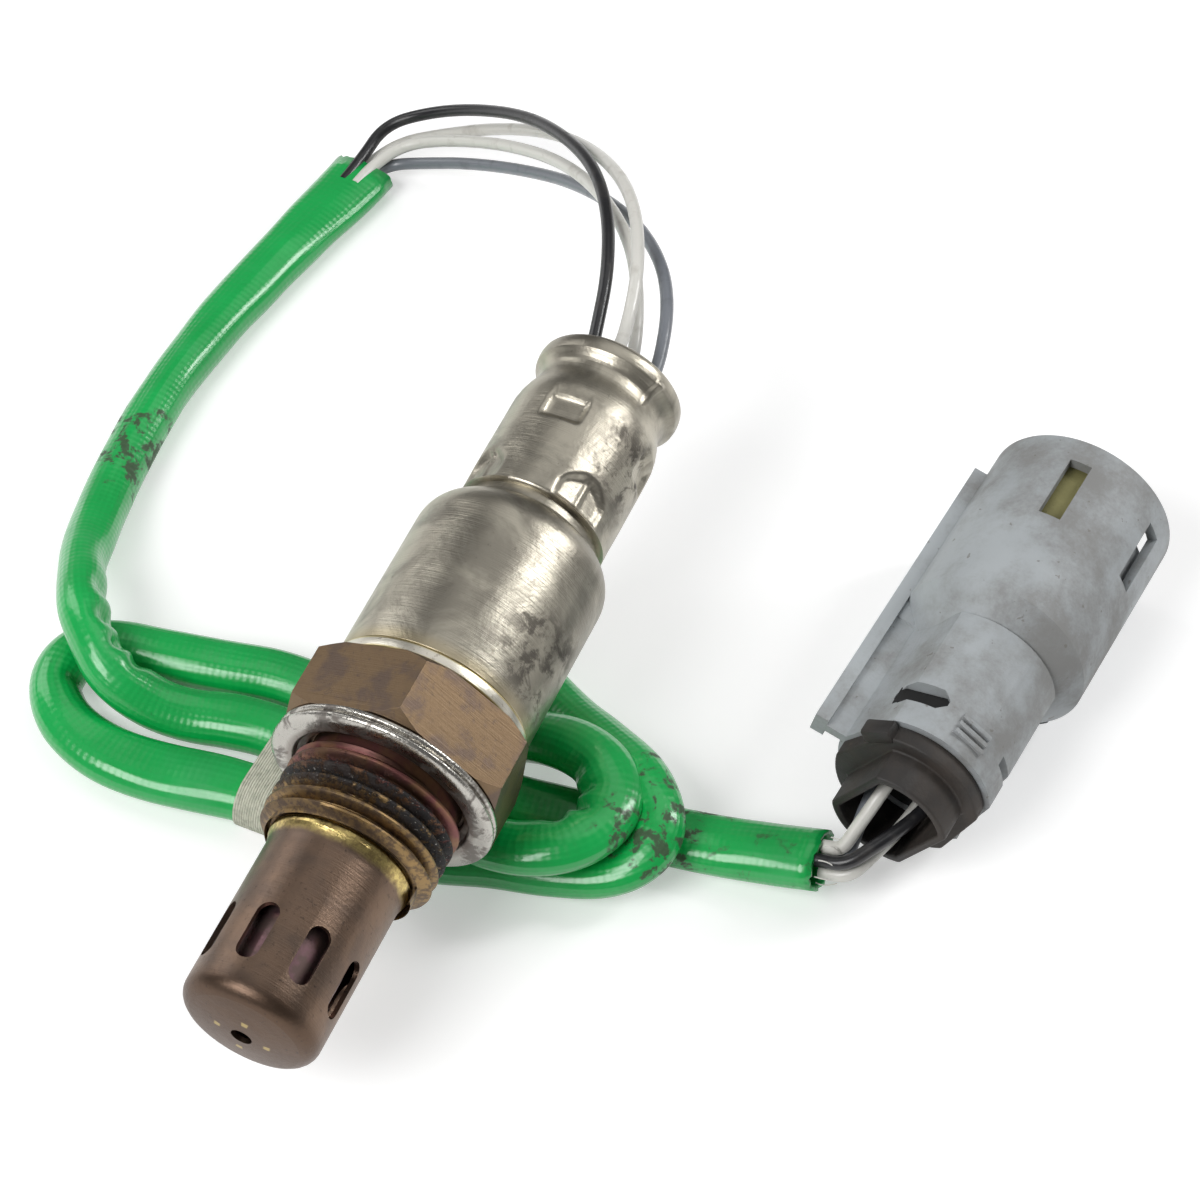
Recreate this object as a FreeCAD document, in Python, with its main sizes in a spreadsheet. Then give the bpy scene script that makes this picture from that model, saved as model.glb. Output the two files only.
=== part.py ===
# A heated oxygen sensor with its lead, as it lies on a bench beside its own connector.
# The frame's origin is the centre of the gasket's sealing face, on the sensor's axis.
# +Y runs from the sensing tip to the wires, +Z is up, and all lengths are in millimetres.
import FreeCAD, Part
import math
import os
import Sketcher
from FreeCAD import Placement, Rotation, Vector

doc = FreeCAD.newDocument("OxygenSensor")
sheet = doc.addObject("Spreadsheet::Sheet", "Sizes")


class Size:
    """A number together with the formula by which the sheet works it out."""

    def __init__(self, value, formula=None):
        self.value = float(value)
        self.formula = formula or f"({float(value)!r})"

    def __add__(self, other):
        other = as_size(other)
        return Size(self.value + other.value, f"({self.formula} + {other.formula})")

    def __sub__(self, other):
        other = as_size(other)
        return Size(self.value - other.value, f"({self.formula} - {other.formula})")

    def __mul__(self, other):
        other = as_size(other)
        return Size(self.value * other.value, f"({self.formula} * {other.formula})")

    def __truediv__(self, other):
        other = as_size(other)
        return Size(self.value / other.value, f"({self.formula} / {other.formula})")

    def __radd__(self, other):
        return as_size(other) + self

    def __rsub__(self, other):
        return as_size(other) - self

    def __rmul__(self, other):
        return as_size(other) * self

    def __neg__(self):
        return as_size(0) - self


def as_size(number):
    return number if isinstance(number, Size) else Size(number)


def root(size):
    return Size(math.sqrt(size.value), f"sqrt({size.formula})")


def sine(angle):
    return Size(math.sin(math.radians(angle.value)), f"sin({angle.formula})")


def cosine(angle):
    return Size(math.cos(math.radians(angle.value)), f"cos({angle.formula})")


def cell(alias, value):
    """Writes one driving dimension into the sheet and hands it back as a Size."""
    cell.row += 1
    sheet.set(f"A{cell.row}", alias.replace("_", " "))
    sheet.set(f"B{cell.row}", repr(value))
    sheet.setAlias(f"B{cell.row}", alias)
    return Size(value, f"Sizes.{alias}")


cell.row = 0


# How the whole thing lies
lie_angle = cell("lie_angle", 5.8)
nose_height = cell("nose_height", 15.0)
slip = cell("slip", 0.04)

# Stations along the sensor's axis, counted from the tip
shoulder_station = cell("shoulder_station", 20.3)
seat_station = cell("seat_station", 28.2)
gasket_depth = cell("gasket_depth", 1.8)
hex_depth = cell("hex_depth", 7.5)
collar_gap = cell("collar_gap", 0.4)
collar_depth = cell("collar_depth", 1.4)
skirt_length = cell("skirt_length", 6.8)
lower_cover_length = cell("lower_cover_length", 21.4)
cap_gap = cell("cap_gap", 1.1)
cap_length = cell("cap_length", 20.0)

# Protection shields
shield_radius = cell("shield_radius", 7.0)
shield_wall = cell("shield_wall", 0.5)
shield_crown = cell("shield_crown", 0.9)
shield_round = cell("shield_round", 2.0)
nose_hole_radius = cell("nose_hole_radius", 1.08)
shield_lip = cell("shield_lip", 0.4)
shield_inset = cell("shield_inset", 2.7)
slot_count = cell("slot_count", 8)
slot_width = cell("slot_width", 2.35)
slot_front = cell("slot_front", 4.4)
slot_back = cell("slot_back", 10.5)
slot_roll = cell("slot_roll", -10.4)
inner_shield_gap = cell("inner_shield_gap", 1.0)
inner_shield_wall = cell("inner_shield_wall", 0.4)
inner_shield_front = cell("inner_shield_front", 3.4)
gas_hole_count = cell("gas_hole_count", 6)
gas_hole_radius = cell("gas_hole_radius", 0.9)
gas_hole_station = cell("gas_hole_station", 14.5)

# Metal shell
thread_radius = cell("thread_radius", 8.97)
thread_lead_in = cell("thread_lead_in", 0.8)
neck_radius = cell("neck_radius", 8.0)
neck_length = cell("neck_length", 0.6)
hex_across_flats = cell("hex_across_flats", 22.0)
hex_chamfer = cell("hex_chamfer", 1.0)
hex_chamfer_drop = cell("hex_chamfer_drop", 1.15)
hex_roll = cell("hex_roll", -20.6)
collar_radius = cell("collar_radius", 10.3)
land_radius = cell("land_radius", 3.7)
land_station = cell("land_station", 25.5)
chamber_radius = cell("chamber_radius", 7.1)
rolled_lip = cell("rolled_lip", 0.9)
rolled_lip_depth = cell("rolled_lip_depth", 0.9)
gasket_width = cell("gasket_width", 3.5)
gasket_clearance = cell("gasket_clearance", 0.25)
gasket_rounding = cell("gasket_rounding", 0.22)

# Sensing thimble, its heater and the packing that holds it
thimble_tip_station = cell("thimble_tip_station", 6.0)
thimble_tip_radius = cell("thimble_tip_radius", 2.6)
thimble_stem_radius = cell("thimble_stem_radius", 3.2)
thimble_collar_radius = cell("thimble_collar_radius", 6.6)
thimble_collar_depth = cell("thimble_collar_depth", 3.2)
thimble_tail_radius = cell("thimble_tail_radius", 3.6)
thimble_tail_station = cell("thimble_tail_station", 40.0)
thimble_bore = cell("thimble_bore", 1.6)
heater_clearance = cell("heater_clearance", 0.2)
heater_end_station = cell("heater_end_station", 54.0)
washer_depth = cell("washer_depth", 0.8)
talc_depth = cell("talc_depth", 5.0)
crimp_ring_depth = cell("crimp_ring_depth", 1.2)

# Covers, grommet and terminals
cover_radius = cell("cover_radius", 10.28)
cover_wall = cell("cover_wall", 0.6)
cover_shoulder_depth = cell("cover_shoulder_depth", 4.2)
cover_shoulder_radius = cell("cover_shoulder_radius", 4.3)
cover_shoulder_slope = cell("cover_shoulder_slope", 0.6)
cover_neck_length = cell("cover_neck_length", 6.3)
cap_radius = cell("cap_radius", 7.93)
cap_wall = cell("cap_wall", 0.5)
cap_taper_length = cell("cap_taper_length", 3.8)
cap_neck_radius = cell("cap_neck_radius", 6.95)
cap_neck_length = cell("cap_neck_length", 1.9)
cap_taper_radius = cell("cap_taper_radius", 8.3)
cap_flare = cell("cap_flare", 0.3)
bead_radius = cell("bead_radius", 7.8)
bead_depth = cell("bead_depth", 1.0)
bead_rise = cell("bead_rise", 0.7)
bead_round = cell("bead_round", 0.6)
bead_mouth_radius = cell("bead_mouth_radius", 6.3)
crimp_count = cell("crimp_count", 4)
crimp_roll = cell("crimp_roll", -3.0)
crimp_sink = cell("crimp_sink", 0.25)
crimp_width = cell("crimp_width", 4.5)
upper_crimp_length = cell("upper_crimp_length", 2.8)
upper_crimp_margin = cell("upper_crimp_margin", 0.4)
lower_crimp_length = cell("lower_crimp_length", 2.2)
lower_crimp_margin = cell("lower_crimp_margin", 1.0)
holder_gap = cell("holder_gap", 2.9)
holder_radius = cell("holder_radius", 6.2)
grommet_gap = cell("grommet_gap", 3.0)
grommet_recess = cell("grommet_recess", 0.9)
wire_circle = cell("wire_circle", 3.4)
wire_radius = cell("wire_radius", 0.7)
barrel_wall = cell("barrel_wall", 0.35)
barrel_depth = cell("barrel_depth", 3.0)
barrel_step = cell("barrel_step", 1.0)
blade_radius = cell("blade_radius", 0.6)

# Sleeve and tape
sleeve_radius = cell("sleeve_radius", 2.7)
tape_thickness = cell("tape_thickness", 0.35)
tape_clearance = cell("tape_clearance", 0.06)
tape_width = cell("tape_width", 5.6)
tape_reach = cell("tape_reach", 15.2)
tape_start = cell("tape_start", 1.2)
tape_station = cell("tape_station", -14.8)

# Connector, along its own axis from the rim of its rear hood
connector_height = cell("connector_height", 10.07)
connector_azimuth = cell("connector_azimuth", 4.0)
connector_roll = cell("connector_roll", 33.4)
hood_depth = cell("hood_depth", 4.7)
hood_radius = cell("hood_radius", 6.6)
hood_side_cut = cell("hood_side_cut", 1.7)
hood_wall = cell("hood_wall", 0.9)
flange_depth = cell("flange_depth", 2.4)
body_radius = cell("body_radius", 8.2)
body_top_cut = cell("body_top_cut", 1.7)
body_base_cut = cell("body_base_cut", 0.63)
waist_station = cell("waist_station", 21.7)
waist_radius = cell("waist_radius", 6.9)
shroud_station = cell("shroud_station", 25.6)
shroud_radius = cell("shroud_radius", 10.05)
shroud_wall = cell("shroud_wall", 1.15)
connector_length = cell("connector_length", 47.5)
shroud_floor = cell("shroud_floor", 26.4)
seal_chamber_wall = cell("seal_chamber_wall", 1.3)
seal_chamber_end = cell("seal_chamber_end", 15.0)
window_front = cell("window_front", 36.6)
window_back = cell("window_back", 44.6)
window_width = cell("window_width", 2.35)
window_angle = cell("window_angle", 31.5)
cutout_start = cell("cutout_start", 10.2)
cutout_width = cell("cutout_width", 1.6)
cutout_sink = cell("cutout_sink", 1.1)
cutout_span = cell("cutout_span", 51.0)
cutout_angle = cell("cutout_angle", 32.0)
rail_angle = cell("rail_angle", 20.5)
rail_reach = cell("rail_reach", 11.4)
rail_depth = cell("rail_depth", 1.5)
rail_width = cell("rail_width", 2.6)
rail_end = cell("rail_end", 44.2)
wing_thickness = cell("wing_thickness", 1.0)
wing_end = cell("wing_end", 23.0)
wing_root = cell("wing_root", 2.5)
rib_count = cell("rib_count", 3)
rib_pitch = cell("rib_pitch", 0.95)
rib_width = cell("rib_width", 3.6)
rib_height = cell("rib_height", 0.35)
rib_station = cell("rib_station", 8.6)
tower_half_width = cell("tower_half_width", 5.6)
tower_half_height = cell("tower_half_height", 3.9)
tower_end = cell("tower_end", 43.6)
cavity_side = cell("cavity_side", 2.4)
contact_pitch_x = cell("contact_pitch_x", 5.0)
contact_pitch_y = cell("contact_pitch_y", 3.6)
contact_wall = cell("contact_wall", 0.3)
contact_recess = cell("contact_recess", 1.2)
seal_rear_recess = cell("seal_rear_recess", 0.5)
socket_depth = cell("socket_depth", 8.0)
wire_lead = cell("wire_lead", 1.5)
tail_spread = cell("tail_spread", 0.9)
tail_lead = cell("tail_lead", 2.6)
tail_stagger = cell("tail_stagger", 0.6)
tail_entry = cell("tail_entry", 3.2)
past = cell("past", 1.0)
doc.recompute()

gasket_end = seat_station + gasket_depth
hex_end = gasket_end + hex_depth
collar_start = hex_end + collar_gap
collar_end = collar_start + collar_depth
skirt_end = collar_end + skirt_length
lower_cover_end = collar_end + lower_cover_length
upper_cover_start = lower_cover_end + cap_gap
sensor_length = upper_cover_start + cap_length
bead_station = sensor_length - bead_depth - bead_round
bead_foot = bead_station - bead_rise
cap_neck_station = bead_foot - cap_neck_length
cap_taper_station = cap_neck_station - cap_taper_length
holder_station = skirt_end + holder_gap
holder_end = lower_cover_end + cover_neck_length
grommet_station = holder_end + grommet_gap
barrel_station = grommet_station + barrel_depth
gasket_bore = neck_radius + gasket_clearance
gasket_radius = gasket_bore + gasket_width
floor_level = -(nose_height + seat_station * sine(lie_angle))
flange_end = hood_depth + flange_depth
hood_half_width = hood_radius - hood_side_cut
body_top_half = body_radius - body_top_cut
body_base_half = body_radius - body_base_cut
seal_chamber_radius = body_top_half - seal_chamber_wall


def bind(feature, name, size):
    feature.setExpression(name, size.formula)


def plane_of(body, role):
    return next(feature for feature in body.Origin.OriginFeatures if feature.Role == role)


def new_body(label):
    body = doc.addObject("PartDesign::Body", label)
    body.Label = label
    return body


def new_sketch(body, role, outline, turn=0.0, lift=0.0):
    """A closed outline on one of the body's own planes, turned about and lifted along its axis.

    Each corner is (x, y), or (x, y, radius, way) where an arc leads on to the next corner,
    counter-clockwise if way is 1 and clockwise if it is -1.
    """
    sketch = body.newObject("Sketcher::SketchObject", body.Label + "_outline")
    sketch.AttachmentSupport = [(plane_of(body, role), "")]
    sketch.MapMode = "FlatFace"
    axis = Vector(0, 1, 0) if role == "XZ_Plane" else Vector(0, 0, 1)
    turned_by = Rotation(axis, as_size(turn).value)
    sketch.AttachmentOffset = Placement(Vector(0, 0, as_size(lift).value), turned_by)
    ends = []
    for index, corner in enumerate(outline):
        here = Vector(as_size(corner[0]).value, as_size(corner[1]).value, 0)
        after = outline[(index + 1) % len(outline)]
        there = Vector(as_size(after[0]).value, as_size(after[1]).value, 0)
        if len(corner) == 2:
            sketch.addGeometry(Part.LineSegment(here, there), False)
            ends.append((1, 2))
            continue
        radius, way = corner[2].value, corner[3]
        chord = there - here
        left = Vector(-chord.y, chord.x, 0).normalize() * way
        centre = (here + there) * 0.5 + left * math.sqrt(max(radius**2 - (chord.Length / 2) ** 2, 0))
        first, last = (here, there) if way == 1 else (there, here)
        angles = [math.atan2(point.y - centre.y, point.x - centre.x) for point in (first, last)]
        if angles[1] < angles[0]:
            angles[1] += 2 * math.pi
        circle = Part.Circle(centre, Vector(0, 0, 1), radius)
        sketch.addGeometry(Part.ArcOfCircle(circle, angles[0], angles[1]), False)
        ends.append((1, 2) if way == 1 else (2, 1))
    for index, corner in enumerate(outline):
        after = (index + 1) % len(outline)
        sketch.addConstraint(Sketcher.Constraint("Coincident", index, ends[index][1], after, ends[after][0]))
        for kind, line, size in (("DistanceX", -2, corner[0]), ("DistanceY", -1, corner[1])):
            size = as_size(size)
            if abs(size.value) < 1e-9:
                sketch.addConstraint(Sketcher.Constraint("PointOnObject", index, ends[index][0], line))
                continue
            place = Sketcher.Constraint(kind, -1, 1, index, ends[index][0], size.value)
            bind(sketch, f"Constraints[{sketch.addConstraint(place)}]", size)
        if len(corner) == 2:
            continue
        bend = corner[2]
        chord = [as_size(there).value - as_size(here).value for here, there in zip(corner, outline[after])]
        if abs(math.hypot(*chord) / 2 - bend.value) < 1e-6:
            level = "Horizontal" if abs(chord[1]) < 1e-9 else "Vertical"
            sketch.addConstraint(Sketcher.Constraint(level, index, 3, index, 1))
        else:
            arc_radius = Sketcher.Constraint("Radius", index, bend.value)
            bind(sketch, f"Constraints[{sketch.addConstraint(arc_radius)}]", bend)
    return sketch


def turned(label, outline):
    """A body turned about the local Z axis from an outline of (radius, station) corners."""
    body = new_body(label)
    sketch = new_sketch(body, "XZ_Plane", outline)
    turning = body.newObject("PartDesign::Revolution", label + "_turning")
    turning.Profile = sketch
    turning.ReferenceAxis = (sketch, ["V_Axis"])
    turning.Angle = 360.0
    body.Tip = turning
    return body


def padded(body, outline, start, length, role="XY_Plane", turn=0.0, inverted=False):
    pad = body.newObject("PartDesign::Pad", body.Label + "_pad")
    pad.Profile = new_sketch(body, role, outline, turn, start)
    bind(pad, "Length", as_size(length))
    pad.Reversed = inverted
    body.Tip = pad
    return pad


def cut(body, outline, role, start, depth, turn=0.0, outward=True):
    """A pocket of the given depth that starts at a height over the plane and leads away from it."""
    doc.recompute()
    before = body.Shape.Volume
    pocket = body.newObject("PartDesign::Pocket", body.Label + "_pocket")
    pocket.Profile = new_sketch(body, role, outline, turn, start)
    bind(pocket, "Length", as_size(depth))
    pocket.Reversed = outward
    body.Tip = pocket
    doc.recompute()
    if body.Shape.Volume > before - 1e-3:
        raise RuntimeError(f"{body.Label}: a pocket cuts nothing")
    return pocket


def grooved(body, outline, angle=360.0, turn=0.0):
    doc.recompute()
    before = body.Shape.Volume
    sketch = new_sketch(body, "XZ_Plane", outline, turn)
    groove = body.newObject("PartDesign::Groove", body.Label + "_groove")
    groove.Profile = sketch
    groove.ReferenceAxis = (sketch, ["V_Axis"])
    bind(groove, "Angle", as_size(angle))
    body.Tip = groove
    doc.recompute()
    if body.Shape.Volume > before - 1e-3:
        raise RuntimeError(f"{body.Label}: a groove cuts nothing")
    return groove


def repeated(body, feature, count):
    """Copies a feature round the local Z axis."""
    pattern = body.newObject("PartDesign::PolarPattern", body.Label + "_pattern")
    pattern.Originals = [feature]
    pattern.Axis = (plane_of(body, "Z_Axis"), [""])
    pattern.Angle = 360.0
    bind(pattern, "Occurrences", count)
    body.Tip = pattern
    return pattern


def mirrored(body, features):
    """Copies features to the other side of the body's own middle plane."""
    mirror = body.newObject("PartDesign::Mirrored", body.Label + "_mirror")
    mirror.Originals = features
    mirror.MirrorPlane = (plane_of(body, "YZ_Plane"), [""])
    body.Tip = mirror
    return mirror


def soften(body, radius, rings):
    """Rounds the circular edges that lie at the given radii and stations."""
    doc.recompute()
    base = body.Tip
    names = []
    for number, edge in enumerate(base.Shape.Edges, 1):
        if not isinstance(edge.Curve, Part.Circle):
            continue
        for ring_radius, station in rings:
            off = abs(edge.Curve.Radius - ring_radius.value) + abs(edge.Curve.Center.z - station.value)
            if off < 0.01:
                names.append(f"Edge{number}")
    fillet = body.newObject("PartDesign::Fillet", body.Label + "_round")
    fillet.Base = (base, names)
    bind(fillet, "Radius", radius)
    body.Tip = fillet


def rectangle(left, right, low, high):
    return [(left, low), (right, low), (right, high), (left, high)]


def ring(inner, outer, start, end):
    return rectangle(inner, outer, start, end)


def disc(radius):
    """A full circle about the origin, as two half turns."""
    return [(radius, 0, radius, 1), (-radius, 0, radius, 1)]


def circle_outline(x, y, radius):
    return [(x + radius, y, radius, 1), (x - radius, y, radius, 1)]


def slot_outline(width, low, high):
    """An obround on the sheet's own middle line."""
    half = width / 2
    return [
        (half, low + half), (half, high - half, half, 1),
        (-half, high - half), (-half, low + half, half, 1),
    ]


# Outer protection shield: a drawn cup with eight slots, a hole in its nose and a lip on the shell
shield_end = shoulder_station + shield_inset
shield_bore = shield_radius - shield_wall
lip_start = shoulder_station - shield_wall
outer_shield = turned("outer_shield", [
    (nose_hole_radius, 0.0),
    (shield_radius, shield_crown),
    (shield_radius, lip_start - shield_lip),
    (shield_radius + shield_lip, lip_start),
    (shield_radius + shield_lip, shoulder_station),
    (shield_radius, shoulder_station),
    (shield_radius, shield_end),
    (shield_bore, shield_end),
    (shield_bore, shield_crown + shield_wall),
    (nose_hole_radius, shield_wall),
])
soften(outer_shield, shield_round, [(shield_radius, shield_crown)])
soften(outer_shield, shield_round - shield_wall, [(shield_bore, shield_crown + shield_wall)])
slot_shape = slot_outline(slot_width, slot_front, slot_back)
slot = cut(outer_shield, slot_shape, "XZ_Plane", 0.0, shield_radius + past)
repeated(outer_shield, slot, slot_count)

# Inner protection shield: a smaller cup pressed into the outer one at its foot
inner_radius = shield_bore - inner_shield_gap
inner_bore = inner_radius - inner_shield_wall
inner_shield = turned("inner_shield", [
    (0, inner_shield_front),
    (inner_radius, inner_shield_front),
    (inner_radius, shield_end - 2 * inner_shield_gap),
    (shield_bore - slip, shield_end - inner_shield_gap),
    (shield_bore - slip, shield_end),
    (shield_bore - slip - inner_shield_wall, shield_end),
    (inner_bore, shield_end - inner_shield_gap),
    (inner_bore, inner_shield_front + inner_shield_wall),
    (0, inner_shield_front + inner_shield_wall),
])
soften(inner_shield, inner_shield_wall * 2, [(inner_radius, inner_shield_front)])
gas_hole = cut(
    inner_shield, circle_outline(0, gas_hole_station, gas_hole_radius), "XZ_Plane", 0.0, inner_radius + past,
)
repeated(inner_shield, gas_hole, gas_hole_count)

# Metal shell: threaded nose, neck for the gasket, hexagon, weld collar and rolled rear skirt
hex_corner_radius = hex_across_flats / math.sqrt(3)
hex_end_radius = hex_corner_radius - hex_chamfer_drop
thread_end = seat_station - neck_length
cover_bore = cover_radius - cover_wall
skirt_radius = cover_bore - 2 * slip
skirt_bore = chamber_radius
lip_bore = chamber_radius - rolled_lip
shell_turning = turned("shell_turning", [
    (shield_radius + slip, shoulder_station),
    (thread_radius - thread_lead_in, shoulder_station),
    (thread_radius, shoulder_station + thread_lead_in),
    (thread_radius, thread_end),
    (neck_radius, thread_end + neck_length / 2),
    (neck_radius, gasket_end),
    (hex_end_radius, gasket_end),
    (hex_corner_radius, gasket_end + hex_chamfer),
    (hex_corner_radius, hex_end - hex_chamfer),
    (hex_end_radius, hex_end),
    (collar_radius - collar_gap, hex_end),
    (collar_radius, collar_start),
    (collar_radius, collar_end),
    (skirt_radius, collar_end),
    (skirt_radius, skirt_end - rolled_lip_depth * 2),
    (lip_bore + rolled_lip_depth, skirt_end),
    (lip_bore, skirt_end),
    (lip_bore, skirt_end - rolled_lip_depth),
    (skirt_bore, skirt_end - rolled_lip_depth),
    (skirt_bore, land_station),
    (land_radius, land_station),
    (land_radius, shield_end + slip),
    (shield_radius + slip, shield_end + slip),
])
hex_block = doc.addObject("Part::Prism", "hex_block")
hex_block.Polygon = 6
bind(hex_block, "Circumradius", hex_corner_radius)
bind(hex_block, "Height", hex_depth)
bind(hex_block, "Placement.Base.z", gasket_end)
hex_blank = doc.addObject("Part::Cylinder", "hex_blank")
bind(hex_blank, "Radius", hex_corner_radius + past)
bind(hex_blank, "Height", hex_depth)
bind(hex_blank, "Placement.Base.z", gasket_end)
hex_waste = doc.addObject("Part::Cut", "hex_waste")
hex_waste.Base = hex_blank
hex_waste.Tool = hex_block
metal_shell = doc.addObject("Part::Cut", "metal_shell")
metal_shell.Base = shell_turning
metal_shell.Tool = hex_waste

# Gasket: a folded crush ring, held captive behind the thread, with its sealing face clear of the crests
gasket_fold = seat_station + gasket_depth / 2
gasket_rim = gasket_radius - gasket_rounding / 2
gasket_ring = turned("gasket_ring", [
    (gasket_bore, seat_station + gasket_rounding * 2),
    (thread_radius + gasket_clearance, seat_station),
    (gasket_radius - 2 * gasket_rounding, seat_station),
    (gasket_rim, seat_station + gasket_rounding),
    (gasket_rim, gasket_fold - gasket_rounding),
    (gasket_radius - 2 * gasket_rounding, gasket_fold),
    (gasket_radius, gasket_fold + gasket_rounding),
    (gasket_radius, gasket_end - gasket_rounding),
    (gasket_radius - gasket_rounding, gasket_end),
    (gasket_bore, gasket_end),
])

# Sensing element: a closed ceramic thimble that sits by its collar on a washer in the shell
washer_end = land_station + washer_depth
thimble_collar_end = washer_end + thimble_collar_depth
sensing_element = turned("sensing_element", [
    (0, thimble_tip_station),
    (thimble_tip_radius, thimble_tip_station),
    (thimble_stem_radius, washer_end - 0.5 * thimble_collar_depth),
    (thimble_stem_radius, washer_end),
    (thimble_collar_radius, washer_end),
    (thimble_collar_radius, thimble_collar_end - 0.3 * thimble_collar_depth),
    (thimble_tail_radius, thimble_collar_end),
    (thimble_tail_radius, thimble_tail_station),
    (thimble_bore, thimble_tail_station),
    (thimble_bore, thimble_tip_station + thimble_bore),
    (0, thimble_tip_station + thimble_bore),
])
soften(sensing_element, thimble_tip_radius * 0.9, [(thimble_tip_radius, thimble_tip_station)])

# Heater: a ceramic rod down the thimble's bore
heater_radius = thimble_bore - heater_clearance
heater_rod = turned("heater_rod", [
    (0, thimble_tip_station + 1.3 * thimble_bore),
    (heater_radius, thimble_tip_station + 1.3 * thimble_bore),
    (heater_radius, heater_end_station),
    (0, heater_end_station),
])

# Packing stack in the shell: washer, pressed talc, ceramic sleeve and the ring under the rolled lip
chamber_fit = chamber_radius - slip
tail_fit = thimble_tail_radius + slip
talc_end = thimble_collar_end + talc_depth
ring_end = skirt_end - rolled_lip_depth - slip
ring_start = ring_end - crimp_ring_depth
packing_washer = turned("packing_washer", ring(
    thimble_stem_radius + slip, chamber_fit, land_station, washer_end,
))
talc_seal = turned("talc_seal", ring(tail_fit, chamber_fit, thimble_collar_end, talc_end))
ceramic_sleeve = turned("ceramic_sleeve", ring(tail_fit, chamber_fit, talc_end, ring_start))
crimp_ring = turned("crimp_ring", ring(tail_fit + 1, chamber_fit, ring_start, ring_end))

# Lower cover: the deep-drawn sleeve welded round the shell's collar, necked down at its top
neck_outer = cap_radius - cap_wall - slip
neck_inner = neck_outer - cover_wall
shoulder_foot = lower_cover_end - cover_shoulder_depth
shoulder_rise = cover_shoulder_depth - cover_shoulder_slope
shoulder_centre = cover_radius - cover_shoulder_radius
inner_shoulder = cover_shoulder_radius - cover_wall
inner_rise = shoulder_rise - cover_shoulder_slope


def on_shoulder(radius, rise):
    """How far out an arc of the shoulder has come when it has risen so far."""
    return shoulder_centre + root(radius * radius - rise * rise)


shoulder_top = on_shoulder(cover_shoulder_radius, shoulder_rise)
inner_top = on_shoulder(inner_shoulder, inner_rise)
lower_cover = turned("lower_cover", [
    (cover_bore, collar_end),
    (cover_radius, collar_end),
    (cover_radius, shoulder_foot, cover_shoulder_radius, 1),
    (shoulder_top, shoulder_foot + shoulder_rise),
    (neck_outer, lower_cover_end),
    (neck_outer, lower_cover_end + cover_neck_length),
    (neck_inner, lower_cover_end + cover_neck_length),
    (neck_inner, lower_cover_end - cover_wall / 2),
    (inner_top, shoulder_foot + inner_rise, inner_shoulder, -1),
    (cover_bore, shoulder_foot),
])

# Upper cover: a cap over the neck, crimped through twice and beaded round the grommet
cap_bore = cap_radius - cap_wall
taper_inside = cap_taper_radius - cap_wall
bead_foot_radius = cap_neck_radius + cap_flare
bead_bore = bead_radius - cap_wall
foot_inside = bead_foot + cap_wall / 2
upper_cover = turned("upper_cover", [
    (cap_bore, upper_cover_start),
    (cap_radius, upper_cover_start),
    (cap_radius, cap_taper_station, cap_taper_radius, 1),
    (cap_neck_radius, cap_neck_station),
    (bead_foot_radius, bead_foot),
    (bead_radius, bead_station),
    (bead_radius, bead_station + bead_depth),
    (bead_radius - bead_round, sensor_length),
    (bead_mouth_radius, sensor_length),
    (bead_mouth_radius, sensor_length - cap_wall),
    (bead_bore - cap_wall / 2, sensor_length - cap_wall),
    (bead_bore, bead_station + cap_wall),
    (bead_foot_radius - cap_wall, foot_inside),
    (cap_neck_radius - cap_wall, cap_neck_station, taper_inside, -1),
    (cap_bore, cap_taper_station),
])
crimp_start = cap_radius - crimp_sink
upper_crimp_front = cap_taper_station - upper_crimp_margin - upper_crimp_length
lower_crimp_front = upper_cover_start + lower_crimp_margin
for front, length in ((upper_crimp_front, upper_crimp_length), (lower_crimp_front, lower_crimp_length)):
    crimp_outline = rectangle(-crimp_width / 2, crimp_width / 2, front, front + length)
    crimp = cut(upper_cover, crimp_outline, "XZ_Plane", -crimp_start, crimp_sink + past)
    repeated(upper_cover, crimp, crimp_count)


def four_holes(body, radius, start, end):
    """Four holes on the wire circle, straight through between two stations."""
    hole = cut(body, circle_outline(wire_circle, 0, radius), "XY_Plane", start, end - start)
    return repeated(body, hole, Size(4))


# Terminal holder: a ceramic block with a bore for the heater and one for each terminal
barrel_radius = wire_radius + barrel_wall
terminal_holder = turned("terminal_holder", ring(
    thimble_bore + slip, holder_radius, holder_station, holder_end,
))
four_holes(terminal_holder, blade_radius + slip, holder_station - past, holder_end + past)

# Grommet: the rubber plug under the bead, with a hole for each wire
grommet = turned("grommet", [
    (0, grommet_station),
    (cap_bore - slip, grommet_station),
    (cap_bore - slip, cap_taper_station, taper_inside - slip, 1),
    (cap_neck_radius - cap_wall - slip, cap_neck_station),
    (bead_foot_radius - cap_wall - slip, foot_inside),
    (bead_mouth_radius - slip, sensor_length - grommet_recess),
    (0, sensor_length - grommet_recess),
])
four_holes(grommet, barrel_radius + slip, grommet_station - past, barrel_station)
four_holes(grommet, wire_radius + slip, barrel_station, sensor_length)

# Terminals: a blade in the holder and a crimp barrel that the wire ends in
terminals = []
for number in range(4):
    terminal = turned(f"terminal_{number + 1}", [
        (0, heater_end_station),
        (blade_radius, heater_end_station),
        (blade_radius, holder_end),
        (barrel_radius, holder_end),
        (barrel_radius, barrel_station),
        (wire_radius, barrel_station),
        (wire_radius, barrel_station - barrel_step),
        (0, barrel_station - barrel_step),
    ])
    terminals.append(terminal)


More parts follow.
